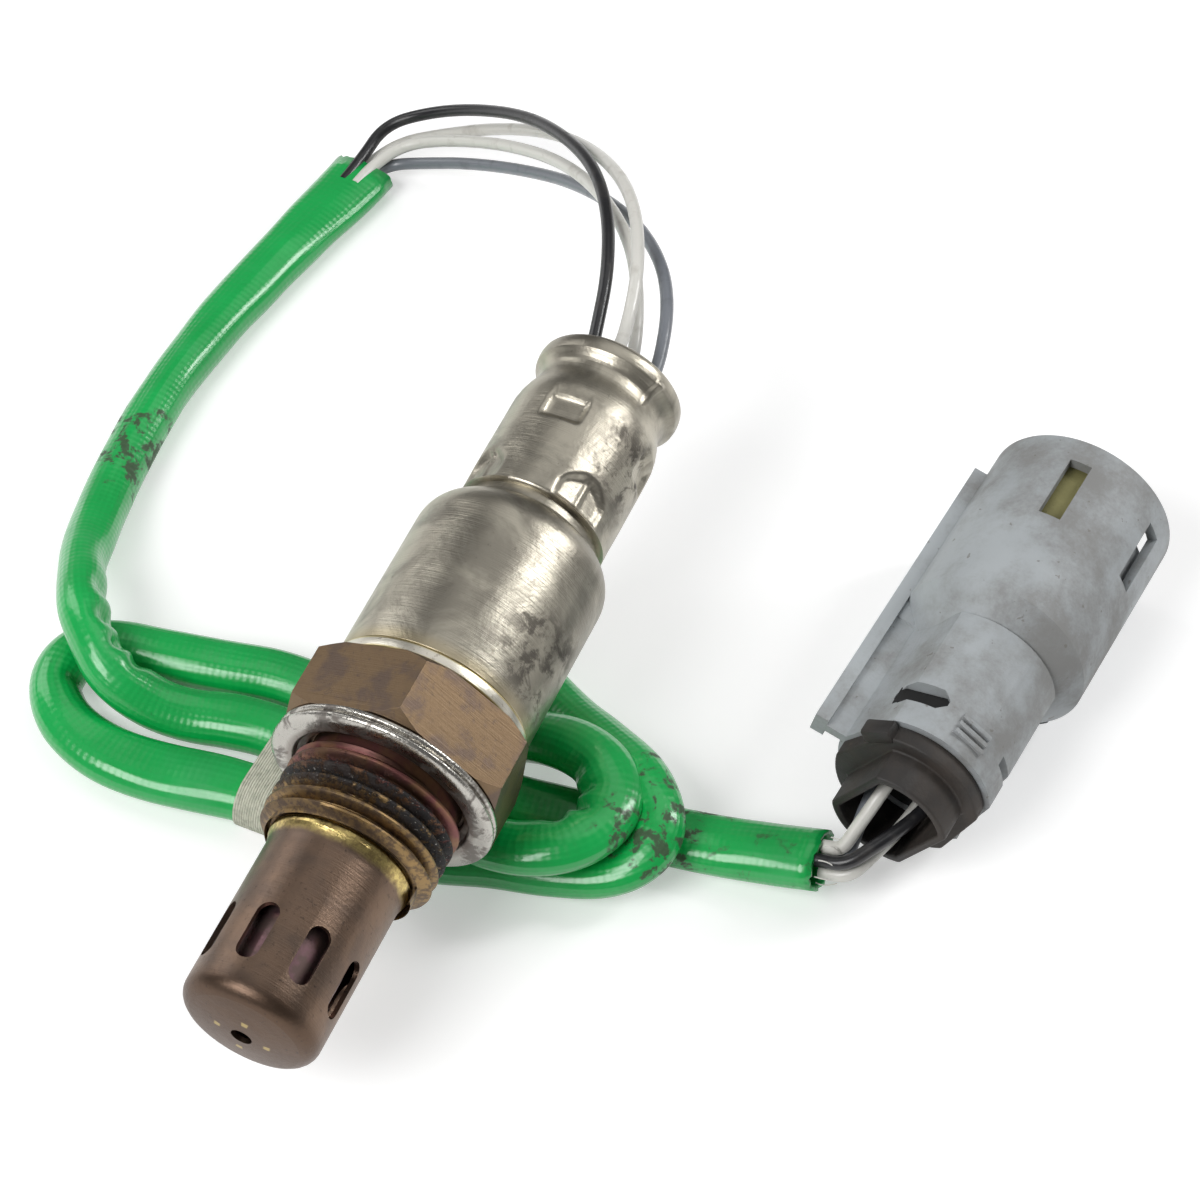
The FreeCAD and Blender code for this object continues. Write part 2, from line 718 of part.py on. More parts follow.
def lying(base, azimuth, pitch, roll):
    """A placement whose local Z lies along +Y, then turned to the azimuth, pitch and roll."""
    along = Rotation(Vector(0, 1, 1), 180)
    rolled = Rotation(Vector(0, 1, 0), roll)
    pitched = Rotation(Vector(1, 0, 0), pitch)
    headed = Rotation(Vector(0, 0, 1), -azimuth)
    return Placement(base, headed * pitched * rolled * along)


def on_sensor(roll=0.0):
    """The placement of a sensor piece that was drawn along Z from the tip."""
    rise, run = sine(lie_angle).value, cosine(lie_angle).value
    tip = Vector(0, -seat_station.value * run, -seat_station.value * rise)
    return lying(tip, 0.0, lie_angle.value, 180.0 + roll)


sensor_pieces = [
    (inner_shield, 0.0), (outer_shield, slot_roll.value), (gasket_ring, 0.0), (sensing_element, 0.0),
    (heater_rod, 0.0), (packing_washer, 0.0), (talc_seal, 0.0), (ceramic_sleeve, 0.0), (crimp_ring, 0.0),
    (lower_cover, 0.0), (upper_cover, crimp_roll.value), (terminal_holder, 0.0), (grommet, 0.0),
    (metal_shell, hex_roll.value),
]
for piece, roll in sensor_pieces:
    piece.Placement = on_sensor(roll)
for number, terminal in enumerate(terminals):
    around = Placement(Vector(0, 0, 0), Rotation(Vector(0, 0, 1), 90 * number))
    offset = Placement(Vector(wire_circle.value, 0, 0), Rotation())
    terminal.Placement = on_sensor() * around * offset

doc.recompute()


def rounded_route(points):
    """Straight runs joined by tangent arcs, each as large as its two runs allow."""
    edges = []
    radii = []
    start = points[0]
    for before, corner, after in zip(points, points[1:], points[2:]):
        inward, outward = (corner - before), (after - corner)
        shorter = min(inward.Length, outward.Length)
        half_turn = inward.getAngle(outward) / 2
        reach = 0.45 * shorter
        radii.append(reach / math.tan(half_turn))
        first = corner - inward.normalize() * reach
        last = corner + outward.normalize() * reach
        bulge = (first + last) * 0.5 - corner
        middle = corner + bulge * ((radii[-1] / math.cos(half_turn) - radii[-1]) / bulge.Length)
        edges.append(Part.LineSegment(start, first).toShape())
        edges.append(Part.Arc(first, middle, last).toShape())
        start = last
    edges.append(Part.LineSegment(start, points[-1]).toShape())
    return Part.Wire(edges), radii


def tube(label, points, radius):
    """A round cord swept along its route, with its volume held against section times length."""
    wire, radii = rounded_route(points)
    route = doc.addObject("Part::Feature", label + "_route")
    route.Shape = wire
    section = doc.addObject("Part::Circle", label + "_section")
    bind(section, "Radius", radius)
    section.Placement = Placement(points[0], Rotation(Vector(0, 0, 1), points[1] - points[0]))
    sweep = doc.addObject("Part::Sweep", label)
    sweep.Sections = [section]
    sweep.Spine = (route, [f"Edge{number}" for number in range(1, len(wire.Edges) + 1)])
    sweep.Solid = True
    doc.recompute()
    share = sweep.Shape.Volume / (math.pi * radius.value**2 * wire.Length)
    print(f"{label}: {wire.Length:.1f} long, least radius {min(radii):.1f}, volume {share:.4f}")
    if abs(share - 1) > 0.01:
        raise RuntimeError(f"{label}: the tube's volume is wrong")
    return sweep


def lifted(points):
    """Route points given as (x, y, height over the bench)."""
    return [Vector(x, y, floor_level.value + height) for x, y, height in points]


def sensor_point(number, station):
    """A point on the axis of one of the four wire holes."""
    angle = math.radians(90 * number)
    local = Vector(wire_circle.value * math.cos(angle), wire_circle.value * math.sin(angle), station)
    return on_sensor().multVec(local)


# Protective sleeve: a single length of tube that lies in a loose hank under the sensor
SLEEVE_ROUTE = [
    (-48.6, 90.5, 2.7), (-49.8, 80.3, 2.7), (-51.8, 66.2, 2.7), (-52.5, 54.5, 2.7), (-52.0, 43.7, 2.7),
    (-50.6, 34.1, 2.9), (-48.5, 26.6, 4.2), (-45.6, 20.4, 6.8), (-42.6, 15.7, 8.4), (-39.6, 12.2, 8.4),
    (-36.4, 10.3, 6.8), (-33.0, 10.4, 4.3), (-29.0, 11.2, 3.0), (-24.5, 11.9, 3.05), (-18.5, 12.35, 3.12),
    (-11.6, 11.4, 3.12), (-5.6, 9.8, 3.05), (0.0, 9.2, 2.9), (4.6, 9.3, 4.6), (8.2, 8.4, 6.7),
    (11.6, 7.1, 8.3), (15.0, 8.3, 8.5), (17.2, 11.6, 8.5), (16.9, 15.7, 8.4), (14.4, 19.2, 8.2),
    (9.4, 21.6, 7.0), (4.0, 21.4, 4.3), (-1.5, 20.7, 2.8), (-6.6, 22.6, 2.7), (-7.6, 27.0, 2.75),
    (-4.0, 30.4, 2.7), (2.0, 30.8, 2.75), (8.3, 28.6, 3.1), (13.8, 25.8, 5.3), (18.9, 21.8, 7.7),
    (22.5, 16.8, 8.5), (23.0, 11.7, 7.9), (20.9, 7.7, 5.5), (16.5, 5.6, 3.1), (10.8, 4.6, 2.7),
    (5.0, 3.8, 2.75), (-2.0, 3.4, 2.7), (-9.0, 3.7, 3.05), (-15.8, 4.6, 3.12), (-22.0, 4.0, 3.05),
    (-28.3, 2.9, 2.7), (-35.0, 2.7, 2.75), (-40.6, 4.9, 2.7), (-44.0, 8.9, 2.7), (-43.9, 13.3, 2.7),
    (-40.0, 16.2, 2.75), (-33.6, 16.9, 2.7), (-27.2, 18.1, 2.75), (-20.5, 19.6, 2.7), (-11.5, 18.3, 2.75),
    (-3.0, 15.1, 2.7), (5.8, 14.8, 2.75), (14.4, 17.2, 2.7), (23.5, 18.6, 2.75), (31.4, 19.4, 3.1),
    (38.1, 19.4, 5.0),
]
sleeve_points = lifted(SLEEVE_ROUTE)
protective_sleeve = tube("protective_sleeve", sleeve_points, sleeve_radius)

# Lead wires between the grommet and the sleeve, in the order of their holes
WIRE_ROUTES = {
    "wire_grey": (0, [
        (3.2, 58.0, 23.5), (1.2, 64.8, 24.9), (-2.6, 71.0, 24.7), (-9.6, 78.3, 21.8), (-19.4, 85.8, 16.0),
        (-28.0, 90.2, 10.8), (-36.2, 92.8, 6.4), (-42.6, 93.6, 3.2), (-46.4, 93.2, 1.9), (-47.8, 90.85, 1.9),
    ]),
    "wire_white_b": (1, [
        (0.2, 58.4, 22.8), (-2.2, 64.6, 24.6), (-6.2, 71.6, 24.9), (-13.6, 79.8, 22.2), (-21.8, 87.0, 17.4),
        (-31.6, 93.0, 11.0), (-40.4, 95.4, 6.2), (-45.6, 94.5, 4.2), (-47.8, 90.85, 3.5),
    ]),
    "wire_black": (2, [
        (-4.4, 59.0, 24.4), (-5.9, 65.0, 26.3), (-9.4, 72.8, 26.6), (-14.6, 80.6, 24.6), (-21.0, 87.0, 21.2),
        (-28.8, 93.2, 16.2), (-37.0, 97.2, 10.8), (-43.8, 98.4, 6.8), (-48.9, 96.2, 4.7), (-49.4, 90.85, 3.5),
    ]),
    "wire_white_a": (3, [
        (-1.2, 59.6, 25.6), (-2.6, 65.4, 27.6), (-6.2, 73.0, 27.7), (-11.2, 79.8, 25.6), (-18.4, 87.2, 20.6),
        (-26.6, 93.6, 14.4), (-35.0, 97.2, 8.6), (-41.8, 97.8, 4.6), (-47.2, 96.2, 2.5), (-49.4, 90.85, 1.9),
    ]),
}
wires = []
for label, (number, route) in WIRE_ROUTES.items():
    held = [sensor_point(number, station.value) for station in (barrel_station, sensor_length + wire_lead)]
    wires.append(tube(label, held + lifted(route), wire_radius))

# Hank tape: one band round the two strands beside the gasket
tape_inner = sleeve_radius + tape_clearance
tape_outer = tape_inner + tape_thickness


def stadium(radius):
    """An outline with round ends, for the band seen along the strands."""
    return [
        (tape_start + sleeve_radius, -radius), (tape_reach - sleeve_radius, -radius, radius, 1),
        (tape_reach - sleeve_radius, radius), (tape_start + sleeve_radius, radius, radius, 1),
    ]


hank_tape = new_body("hank_tape")
padded(hank_tape, stadium(tape_outer), 0.0, tape_width)
cut(hank_tape, stadium(tape_inner), "XY_Plane", 0.0, tape_width)
tape_height = floor_level.value + tape_outer.value
hank_tape.Placement = Placement(
    Vector(tape_station.value - tape_width.value / 2, 0, tape_height),
    Rotation(Vector(0, 0, 1), 90) * Rotation(Vector(1, 0, 0), 90),
)


def flatted(radius, top_half, base_half):
    """A round outline with its two sides cut flat, narrower at the top."""
    top = root(radius * radius - top_half * top_half)
    base = -root(radius * radius - base_half * base_half)
    return [
        (top_half, top, radius, 1), (-top_half, top),
        (-base_half, base, radius, 1), (base_half, base),
    ]


# Connector housing: a moulded body with a round shroud, two windows and a rail on each side
shroud_bore = shroud_radius - shroud_wall
connector_housing = new_body("connector_housing")
padded(
    connector_housing, flatted(body_radius, body_top_half, body_base_half),
    flange_end, waist_station - flange_end + past,
)
shroud_sketch = new_sketch(connector_housing, "XZ_Plane", [
    (0, waist_station - past),
    (waist_radius, waist_station - past),
    (waist_radius, waist_station),
    (shroud_radius, shroud_station),
    (shroud_radius, connector_length),
    (0, connector_length),
])
shroud_turning = connector_housing.newObject("PartDesign::Revolution", "shroud_turning")
shroud_turning.Profile = shroud_sketch
shroud_turning.ReferenceAxis = (shroud_sketch, ["V_Axis"])
shroud_turning.Angle = 360.0
connector_housing.Tip = shroud_turning
rail_outline = rectangle(shroud_radius - slip * 3, rail_reach, -rail_width / 2, rail_width / 2)
rail = padded(connector_housing, rail_outline, flange_end, rail_end - flange_end, turn=-rail_angle)
wing_edge = rail_reach - rail_depth / 2
wing_outline = rectangle(body_radius - wing_root, wing_edge, -wing_thickness / 2, wing_thickness / 2)
wing = padded(connector_housing, wing_outline, flange_end, wing_end - flange_end, turn=-rail_angle)
doc.recompute()
mirrored(connector_housing, [rail, wing])
grooved(connector_housing, [
    (0, shroud_floor), (shroud_bore, shroud_floor),
    (shroud_bore, connector_length + past), (0, connector_length + past),
])
grooved(connector_housing, [
    (0, flange_end - past), (seal_chamber_radius, flange_end - past),
    (seal_chamber_radius, seal_chamber_end), (0, seal_chamber_end),
])
window = cut(
    connector_housing, rectangle(-window_width / 2, window_width / 2, window_front, window_back),
    "XZ_Plane", 0.0, shroud_radius + past, turn=180 - window_angle,
)
doc.recompute()
mirrored(connector_housing, [window])
cutout = grooved(connector_housing, [
    (body_radius - cutout_sink, cutout_start), (body_radius + past, cutout_start),
    (body_radius + past, cutout_start + cutout_width),
    (body_radius - cutout_sink, cutout_start + cutout_width / 2),
], cutout_span, turn=90 - cutout_angle - cutout_span)
doc.recompute()
mirrored(connector_housing, [cutout])
for step in range(int(rib_count.value)):
    low = rib_station + rib_pitch * step
    rib_outline = rectangle(-rib_width / 2, rib_width / 2, low, low + rib_pitch / 2)
    rib_seat = root(body_radius * body_radius - rib_width * rib_width / 4)
    padded(
        connector_housing, rib_outline, past - rib_seat, body_radius - rib_seat + past + rib_height,
        role="XZ_Plane", inverted=True,
    )

contact_places = [
    (side * contact_pitch_x / 2, level * contact_pitch_y / 2) for level in (1, -1) for side in (-1, 1)
]
contact_radius = blade_radius
for x, y in contact_places:
    cut(
        connector_housing, circle_outline(x, y, contact_radius + slip),
        "XY_Plane", seal_chamber_end - past, shroud_floor - seal_chamber_end + 2 * past,
    )

# Rear cap: the black flange that closes the housing, with its open hood for the wires
rear_cap = new_body("rear_cap")
padded(rear_cap, flatted(hood_radius, hood_half_width, hood_half_width), 0.0, hood_depth)
padded(rear_cap, flatted(body_radius, body_top_half, body_base_half), hood_depth, flange_depth)
cut(
    rear_cap, flatted(hood_radius - hood_wall, hood_half_width - hood_wall, hood_half_width - hood_wall),
    "XY_Plane", 0.0, flange_end,
)

# Wire seal: the rubber plug in the housing's rear chamber
wire_seal = new_body("wire_seal")
padded(wire_seal, disc(seal_chamber_radius - slip), flange_end + seal_rear_recess,
       seal_chamber_end - flange_end - seal_rear_recess)
for x, y in contact_places:
    cut(
        wire_seal, circle_outline(x, y, wire_radius + slip),
        "XY_Plane", flange_end, seal_chamber_end - flange_end + past,
    )

# Terminal lock: the tower in the shroud, with one square cavity for each contact
terminal_lock = new_body("terminal_lock")
padded(
    terminal_lock, rectangle(-tower_half_width, tower_half_width, -tower_half_height, tower_half_height),
    shroud_floor, tower_end - shroud_floor,
)
for x, y in contact_places:
    half = cavity_side / 2
    cut(
        terminal_lock, rectangle(x - half, x + half, y - half, y + half),
        "XY_Plane", shroud_floor, tower_end - shroud_floor,
    )

# Connector contacts: a crimped tail through the housing and a square socket in the lock
contacts = []
socket_half = cavity_side / 2 - slip
socket_end = tower_end - contact_recess
for number, (x, y) in enumerate(contact_places):
    contact = new_body(f"connector_contact_{number + 1}")
    padded(contact, circle_outline(x, y, contact_radius), seal_chamber_end, shroud_floor - seal_chamber_end)
    padded(
        contact, rectangle(x - socket_half, x + socket_half, y - socket_half, y + socket_half),
        shroud_floor, socket_end - shroud_floor,
    )
    inner_half = socket_half - contact_wall
    cut(
        contact, rectangle(x - inner_half, x + inner_half, y - inner_half, y + inner_half),
        "XY_Plane", socket_end - socket_depth, socket_depth + past,
    )
    contacts.append(contact)

CONNECTOR_REAR = (43.26, 21.47)
connector_base = Vector(CONNECTOR_REAR[0], CONNECTOR_REAR[1], floor_level.value + connector_height.value)
on_connector = lying(connector_base, connector_azimuth.value, 0.0, connector_roll.value)
for piece in [connector_housing, rear_cap, wire_seal, terminal_lock] + contacts:
    piece.Placement = on_connector

# Tail wires between the sleeve's end and the wire seal
sleeve_end = sleeve_points[-1]
away = (sleeve_points[-1] - sleeve_points[-2]).normalize()
across = away.cross(Vector(0, 0, 1)).normalize()
above = across.cross(away)
tail_names = ["tail_black", "tail_white_a", "tail_white_b", "tail_grey"]
tail_sides = [(1, 1), (-1, 1), (1, -1), (-1, -1)]
seal_face = flange_end + seal_rear_recess
tails = []
for label, (side, level), (x, y) in zip(tail_names, tail_sides, contact_places):
    tail_start = sleeve_end + across * (tail_spread.value * side) + above * (tail_spread.value * level)
    tails.append(tube(label, [
        tail_start,
        tail_start + away * (tail_lead.value + tail_stagger.value * side),
        on_connector.multVec(Vector(x.value, y.value, (seal_face - tail_entry).value)),
        on_connector.multVec(Vector(x.value, y.value, seal_chamber_end.value)),
    ], wire_radius))

nodes = {piece.Label: piece for piece, roll in sensor_pieces}
for piece in terminals + wires + tails + contacts + [
    protective_sleeve, hank_tape, connector_housing, rear_cap, wire_seal, terminal_lock,
]:
    nodes[piece.Label] = piece

doc.recompute()
for feature in doc.Objects:
    if "Invalid" in feature.State or "Error" in feature.State:
        raise RuntimeError(f"{feature.Label} is {feature.State}")
for label, piece in nodes.items():
    if piece.Shape.isNull() or not piece.Shape.isValid():
        raise RuntimeError(f"{label} has no valid shape")

os.makedirs("parts", exist_ok=True)
for label, piece in nodes.items():
    piece.Shape.exportStep(f"parts/{label}.step")
print(len(nodes), "nodes written")
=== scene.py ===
import math

import bmesh
import bpy
from mathutils import Matrix, Vector, noise


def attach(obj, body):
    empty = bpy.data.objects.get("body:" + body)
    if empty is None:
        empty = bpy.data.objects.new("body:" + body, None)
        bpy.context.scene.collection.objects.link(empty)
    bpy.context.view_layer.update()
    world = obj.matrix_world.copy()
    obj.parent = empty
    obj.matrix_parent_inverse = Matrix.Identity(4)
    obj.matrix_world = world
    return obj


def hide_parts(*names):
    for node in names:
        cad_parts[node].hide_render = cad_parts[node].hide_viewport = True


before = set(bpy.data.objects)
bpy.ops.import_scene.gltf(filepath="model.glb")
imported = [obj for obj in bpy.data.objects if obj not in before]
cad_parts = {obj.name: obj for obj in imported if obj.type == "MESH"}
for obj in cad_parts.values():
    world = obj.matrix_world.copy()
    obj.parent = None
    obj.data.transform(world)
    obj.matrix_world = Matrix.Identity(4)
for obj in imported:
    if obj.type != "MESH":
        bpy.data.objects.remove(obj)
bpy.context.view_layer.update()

# The bench and the light.
# A pale table top lies under the sleeve's lowest strands. Four wide soft lamps and a dim white
# room stand in for a photographer's tent.
MM = 0.001
LIE_ANGLE = math.radians(5.8)
SEAT_STATION = 28.2
NOSE_HEIGHT = 15.0
BENCH = -(NOSE_HEIGHT + SEAT_STATION * math.sin(LIE_ANGLE)) * MM
BENCH_REACH = 1.2
BENCH_GAP = 0.02 * MM
BENCH_WHITE = (0.4, 0.4, 0.4)
ROOM_LIGHT = 0.16
LAMP_TARGET = Vector((0, 0.03, 0))


class Signal:
    """A shader socket that can stand in a sum or a product."""

    def __init__(self, finish, socket):
        self.finish = finish
        self.socket = socket

    def join(self, operation, first, second):
        return self.finish.node("ShaderNodeMath", {"operation": operation}, {0: first, 1: second})

    def __add__(self, other):
        return self.join("ADD", self, other)

    def __sub__(self, other):
        return self.join("SUBTRACT", self, other)

    def __mul__(self, other):
        return self.join("MULTIPLY", self, other)

    def __radd__(self, other):
        return self.join("ADD", other, self)

    def __rsub__(self, other):
        return self.join("SUBTRACT", other, self)

    def __rmul__(self, other):
        return self.join("MULTIPLY", other, self)


class Finish:
    """One material: a Principled shader and the nodes that lead to its sockets."""

    def __init__(self, name, **fixed):
        self.material = bpy.data.materials.new(name)
        self.material.use_nodes = True
        self.tree = self.material.node_tree
        self.shader = self.tree.nodes["Principled BSDF"]
        for socket, value in fixed.items():
            self.connect(self.shader.inputs[socket.replace("_", " ")], value)

    def connect(self, socket, value):
        """Links a signal to a socket, or sets the socket to a number or a colour."""
        if isinstance(value, Signal):
            self.tree.links.new(value.socket, socket)
        elif isinstance(value, tuple) and len(value) == 3 and len(socket.default_value) == 4:
            socket.default_value = (*value, 1)
        else:
            socket.default_value = value

    def node(self, kind, settings, sockets, output=0):
        """Adds a node, sets it up, feeds its sockets and hands back one of its outputs."""
        made = self.tree.nodes.new(kind)
        for setting, value in settings.items():
            setattr(made, setting, value)
        for socket, value in sockets.items():
            self.connect(made.inputs[socket], value)
        return Signal(self, made.outputs[output])

    def place(self):
        """Object coordinates in millimetres."""
        raw = self.node("ShaderNodeTexCoord", {}, {}, "Object")
        return self.node("ShaderNodeVectorMath", {"operation": "SCALE"}, {0: raw, "Scale": 1000.0})

    def along(self, place, direction, offset=0.0):
        """How far a place lies along a direction."""
        sockets = {0: place, 1: tuple(direction)}
        share = self.node("ShaderNodeVectorMath", {"operation": "DOT_PRODUCT"}, sockets, 1)
        return share + offset

    def cloud(self, place, scale, detail=4.0, roughness=0.55, distortion=0.0):
        """Cloudy noise, from about 0.3 to 0.7."""
        sockets = {
            "Vector": place, "Scale": scale, "Detail": detail, "Roughness": roughness,
            "Distortion": distortion,
        }
        return self.node("ShaderNodeTexNoise", {}, sockets)

    def step(self, value, low, high):
        """Rises smoothly from 0 at low to 1 at high, or falls where low is the larger."""
        if low > high:
            return 1.0 - self.step(value, high, low)
        sockets = {"Value": value, "From Min": low, "From Max": high}
        return self.node("ShaderNodeMapRange", {"interpolation_type": "SMOOTHSTEP"}, sockets)

    def band(self, value, start, end, soft):
        """One between start and end, and nothing outside."""
        return self.step(value, start - soft, start + soft) * self.step(value, end + soft, end - soft)

    def blend(self, factor, first, second):
        """Goes from the first colour to the second as the factor rises."""
        return self.node("ShaderNodeMix", {"data_type": "RGBA"}, {0: factor, 6: first, 7: second}, 2)

    def emboss(self, height, depth):
        """Bump of a depth given in millimetres."""
        sockets = {"Strength": 1.0, "Distance": depth * MM, "Height": height}
        self.connect(self.shader.inputs["Normal"], self.node("ShaderNodeBump", {}, sockets))

    def coat(self, **sockets):
        """Feeds the shader and hands back the material."""
        for socket, value in sockets.items():
            self.connect(self.shader.inputs[socket.replace("_", " ")], value)
        return self.material


sheet_mesh = bmesh.new()
bmesh.ops.create_grid(sheet_mesh, x_segments=1, y_segments=1, size=BENCH_REACH)
bmesh.ops.translate(sheet_mesh, verts=sheet_mesh.verts, vec=(0, 0.045, BENCH - BENCH_GAP))
sheet_data = bpy.data.meshes.new("bench")
sheet_mesh.to_mesh(sheet_data)
sheet_mesh.free()
bench = bpy.data.objects.new("bench", sheet_data)
bpy.context.collection.objects.link(bench)
bench_paint = Finish("bench_paint", Base_Color=(0.8, 0.8, 0.8), Roughness=0.9)
seen = bench_paint.node("ShaderNodeLightPath", {}, {}, "Is Camera Ray")
mirrored = bench_paint.node("ShaderNodeLightPath", {}, {}, "Is Glossy Ray")
through = bench_paint.node("ShaderNodeLightPath", {}, {}, "Is Transmission Ray")
white = bench_paint.blend(seen + mirrored + through, (0.0, 0.0, 0.0), BENCH_WHITE)
bench_paint.coat(Emission_Color=white, Emission_Strength=1.0)
bench.data.materials.append(bench_paint.material)

world = bpy.data.worlds.new("tent")
world.use_nodes = True
bpy.context.scene.world = world
sky = world.node_tree.nodes["Background"]
sky.inputs["Color"].default_value = (1, 1, 1, 1)
sky.inputs["Strength"].default_value = ROOM_LIGHT


def lamp(name, place, size, power):
    """A soft box that faces the sensor."""
    data = bpy.data.lights.new(name, "AREA")
    data.shape = "RECTANGLE"
    data.size, data.size_y = size
    data.energy = power
    shown = bpy.data.objects.new(name, data)
    shown.location = place
    shown.rotation_euler = (LAMP_TARGET - Vector(place)).to_track_quat("-Z", "Y").to_euler()
    bpy.context.collection.objects.link(shown)


lamp("key_lamp", (0.34, 0.34, 0.30), (0.10, 0.26), 1.3)
lamp("ceiling_lamp", (0.0, 0.28, 0.60), (0.50, 0.50), 0.55)
lamp("front_lamp", (-0.16, -0.36, 0.42), (0.30, 0.30), 2.3)
lamp("left_lamp", (-0.46, 0.12, 0.26), (0.20, 0.36), 0.5)

# The camera stands where the photographer's did: fifty degrees above the bench, to the right of
# the sensor's tip.
CAMERA_PLACE = Vector((0.10506, -0.17823, 0.27401))
CAMERA_AZIMUTH = math.radians(24.7)
CAMERA_ELEVATION = math.radians(50.0)
lens = bpy.data.cameras.new("camera")
lens.lens = 108.0
lens.sensor_width = 36.0
lens.clip_start = 0.01
camera = bpy.data.objects.new("camera", lens)
camera.location = CAMERA_PLACE
camera.rotation_euler = (math.pi / 2 - CAMERA_ELEVATION, 0, CAMERA_AZIMUTH)
bpy.context.collection.objects.link(camera)
bpy.context.scene.camera = camera
bpy.context.scene.view_settings.view_transform = "Standard"

# Lead wires, the upper run.
# Four stranded wires in coloured insulation leave the sensor's bead, arch over and go into the
# sleeve's cut end. The insulation is extruded, with a slight gloss and handling marks.


def add_spline(data, points):
    """Adds one open smooth run, led by its control points, to a curve."""
    spline = data.splines.new("NURBS")
    spline.points.add(len(points) - 1)
    for control, point in zip(spline.points, points):
        control.co = (*point, 1)
    spline.order_u = 3
    spline.use_endpoint_u = True


def spline_object(name, points, thickness=0.0):
    """A round cord of a given thickness along one smooth run."""
    data = bpy.data.curves.new(name, "CURVE")
    data.dimensions = "3D"
    data.resolution_u = 10
    data.bevel_depth = thickness
    data.bevel_resolution = 5
    data.use_fill_caps = True
    add_spline(data, points)
    shown = bpy.data.objects.new(name, data)
    bpy.context.collection.objects.link(shown)
    return shown


def over_bench(points):
    """Route points given as (x, y, height over the bench) in millimetres."""
    return [Vector((x * MM, y * MM, BENCH + height * MM)) for x, y, height in points]


def path_of(points):
    """The smooth line that control points give, as Blender works it out."""
    bare = spline_object("measure", points)
    depsgraph = bpy.context.evaluated_depsgraph_get()
    data = bpy.data.meshes.new_from_object(bare.evaluated_get(depsgraph))
    found = [vertex.co.copy() for vertex in data.vertices]
    bpy.data.meshes.remove(data)
    bpy.data.objects.remove(bare)
    return found


def length_of(points):
    return sum((after - before).length for before, after in zip(points, points[1:]))


SENSOR = (
    Matrix.Rotation(-(math.pi / 2 - LIE_ANGLE), 4, "X")
    @ Matrix.Translation((0, 0, -SEAT_STATION * MM))
)
WIRE_CIRCLE = 3.4
WIRE_WIDTH = 1.4
WIRE_ROOT = 73.0
WIRE_STUB = 1.5
BEAD_END = 81.8


def hole_point(number, station):
    """A point on the line of one of the plug's four wire holes."""
    angle = math.radians(90 * number)
    place = Vector((WIRE_CIRCLE * math.cos(angle), WIRE_CIRCLE * math.sin(angle), station)) * MM
    return SENSOR @ place


def insulation(name, color, stain, amount):
    """Extruded wire insulation with handling marks."""
    skin = Finish(name, Coat_Roughness=0.25)
    place = skin.place()
    marks = skin.step(skin.cloud(place, 0.55, 5.0), 0.5, 0.72)
    streaks = skin.cloud(place, 2.6, 3.0)
    skin.emboss(streaks, 0.02)
    return skin.coat(
        Base_Color=skin.blend(marks * amount, color, stain),
        Roughness=0.32 + marks * 0.2,
        Coat_Weight=0.25,
    )


WIRE_SKINS = {
    "black": insulation("wire_black_skin", (0.012, 0.012, 0.014), (0.05, 0.045, 0.04), 0.5),
    "white": insulation("wire_white_skin", (0.72, 0.71, 0.66), (0.38, 0.35, 0.3), 0.35),
    "grey": insulation("wire_grey_skin", (0.19, 0.205, 0.23), (0.1, 0.1, 0.12), 0.4),
}
UPPER_WIRES = {
    "wire_grey": (0, "grey", [
        (3.2, 58.0, 23.5), (1.2, 64.8, 24.9), (-2.6, 71.0, 24.7), (-9.6, 78.3, 21.8),
        (-19.4, 85.8, 16.0), (-28.0, 90.2, 10.8), (-36.2, 92.8, 6.4), (-42.6, 93.6, 3.2),
        (-46.4, 93.2, 1.9), (-47.8, 90.85, 1.9), (-48.2, 87.0, 2.0),
    ]),
    "wire_white_b": (1, "white", [
        (0.2, 58.4, 22.8), (-2.2, 64.6, 24.6), (-6.2, 71.6, 24.9), (-13.6, 79.8, 22.2),
        (-21.8, 87.0, 17.4), (-31.6, 93.0, 11.0), (-40.4, 95.4, 6.2), (-45.6, 94.5, 4.2),
        (-47.8, 90.85, 3.2), (-48.2, 87.0, 3.2),
    ]),
    "wire_black": (2, "black", [
        (-4.4, 59.0, 24.4), (-5.9, 65.0, 26.3), (-9.4, 72.8, 26.6), (-14.6, 80.6, 24.6),
        (-21.0, 87.0, 21.2), (-28.8, 93.2, 16.2), (-37.0, 97.2, 10.8), (-43.8, 98.4, 6.8),
        (-48.9, 96.2, 4.7), (-49.4, 90.85, 3.3), (-49.7, 87.0, 3.2),
    ]),
    "wire_white_a": (3, "white", [
        (-1.2, 59.6, 25.6), (-2.6, 65.4, 27.6), (-6.2, 73.0, 27.7), (-11.2, 79.8, 25.6),
        (-18.4, 87.2, 20.6), (-26.6, 93.6, 14.4), (-35.0, 97.2, 8.6), (-41.8, 97.8, 4.6),
        (-47.2, 96.2, 2.5), (-49.4, 90.85, 1.9), (-49.7, 87.0, 2.0),
    ]),
}
for name, (number, color, route) in UPPER_WIRES.items():
    points = [hole_point(number, WIRE_ROOT), hole_point(number, BEAD_END + WIRE_STUB)]
    points += over_bench(route)
    wire = spline_object(name + "_lead", points, WIRE_WIDTH / 2 * MM)
    wire.data.materials.append(WIRE_SKINS[color])
    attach(wire, "root")
    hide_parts(name)
    tuple(hole_point(number, BEAD_END))
    round(length_of(path_of(points)), 4)

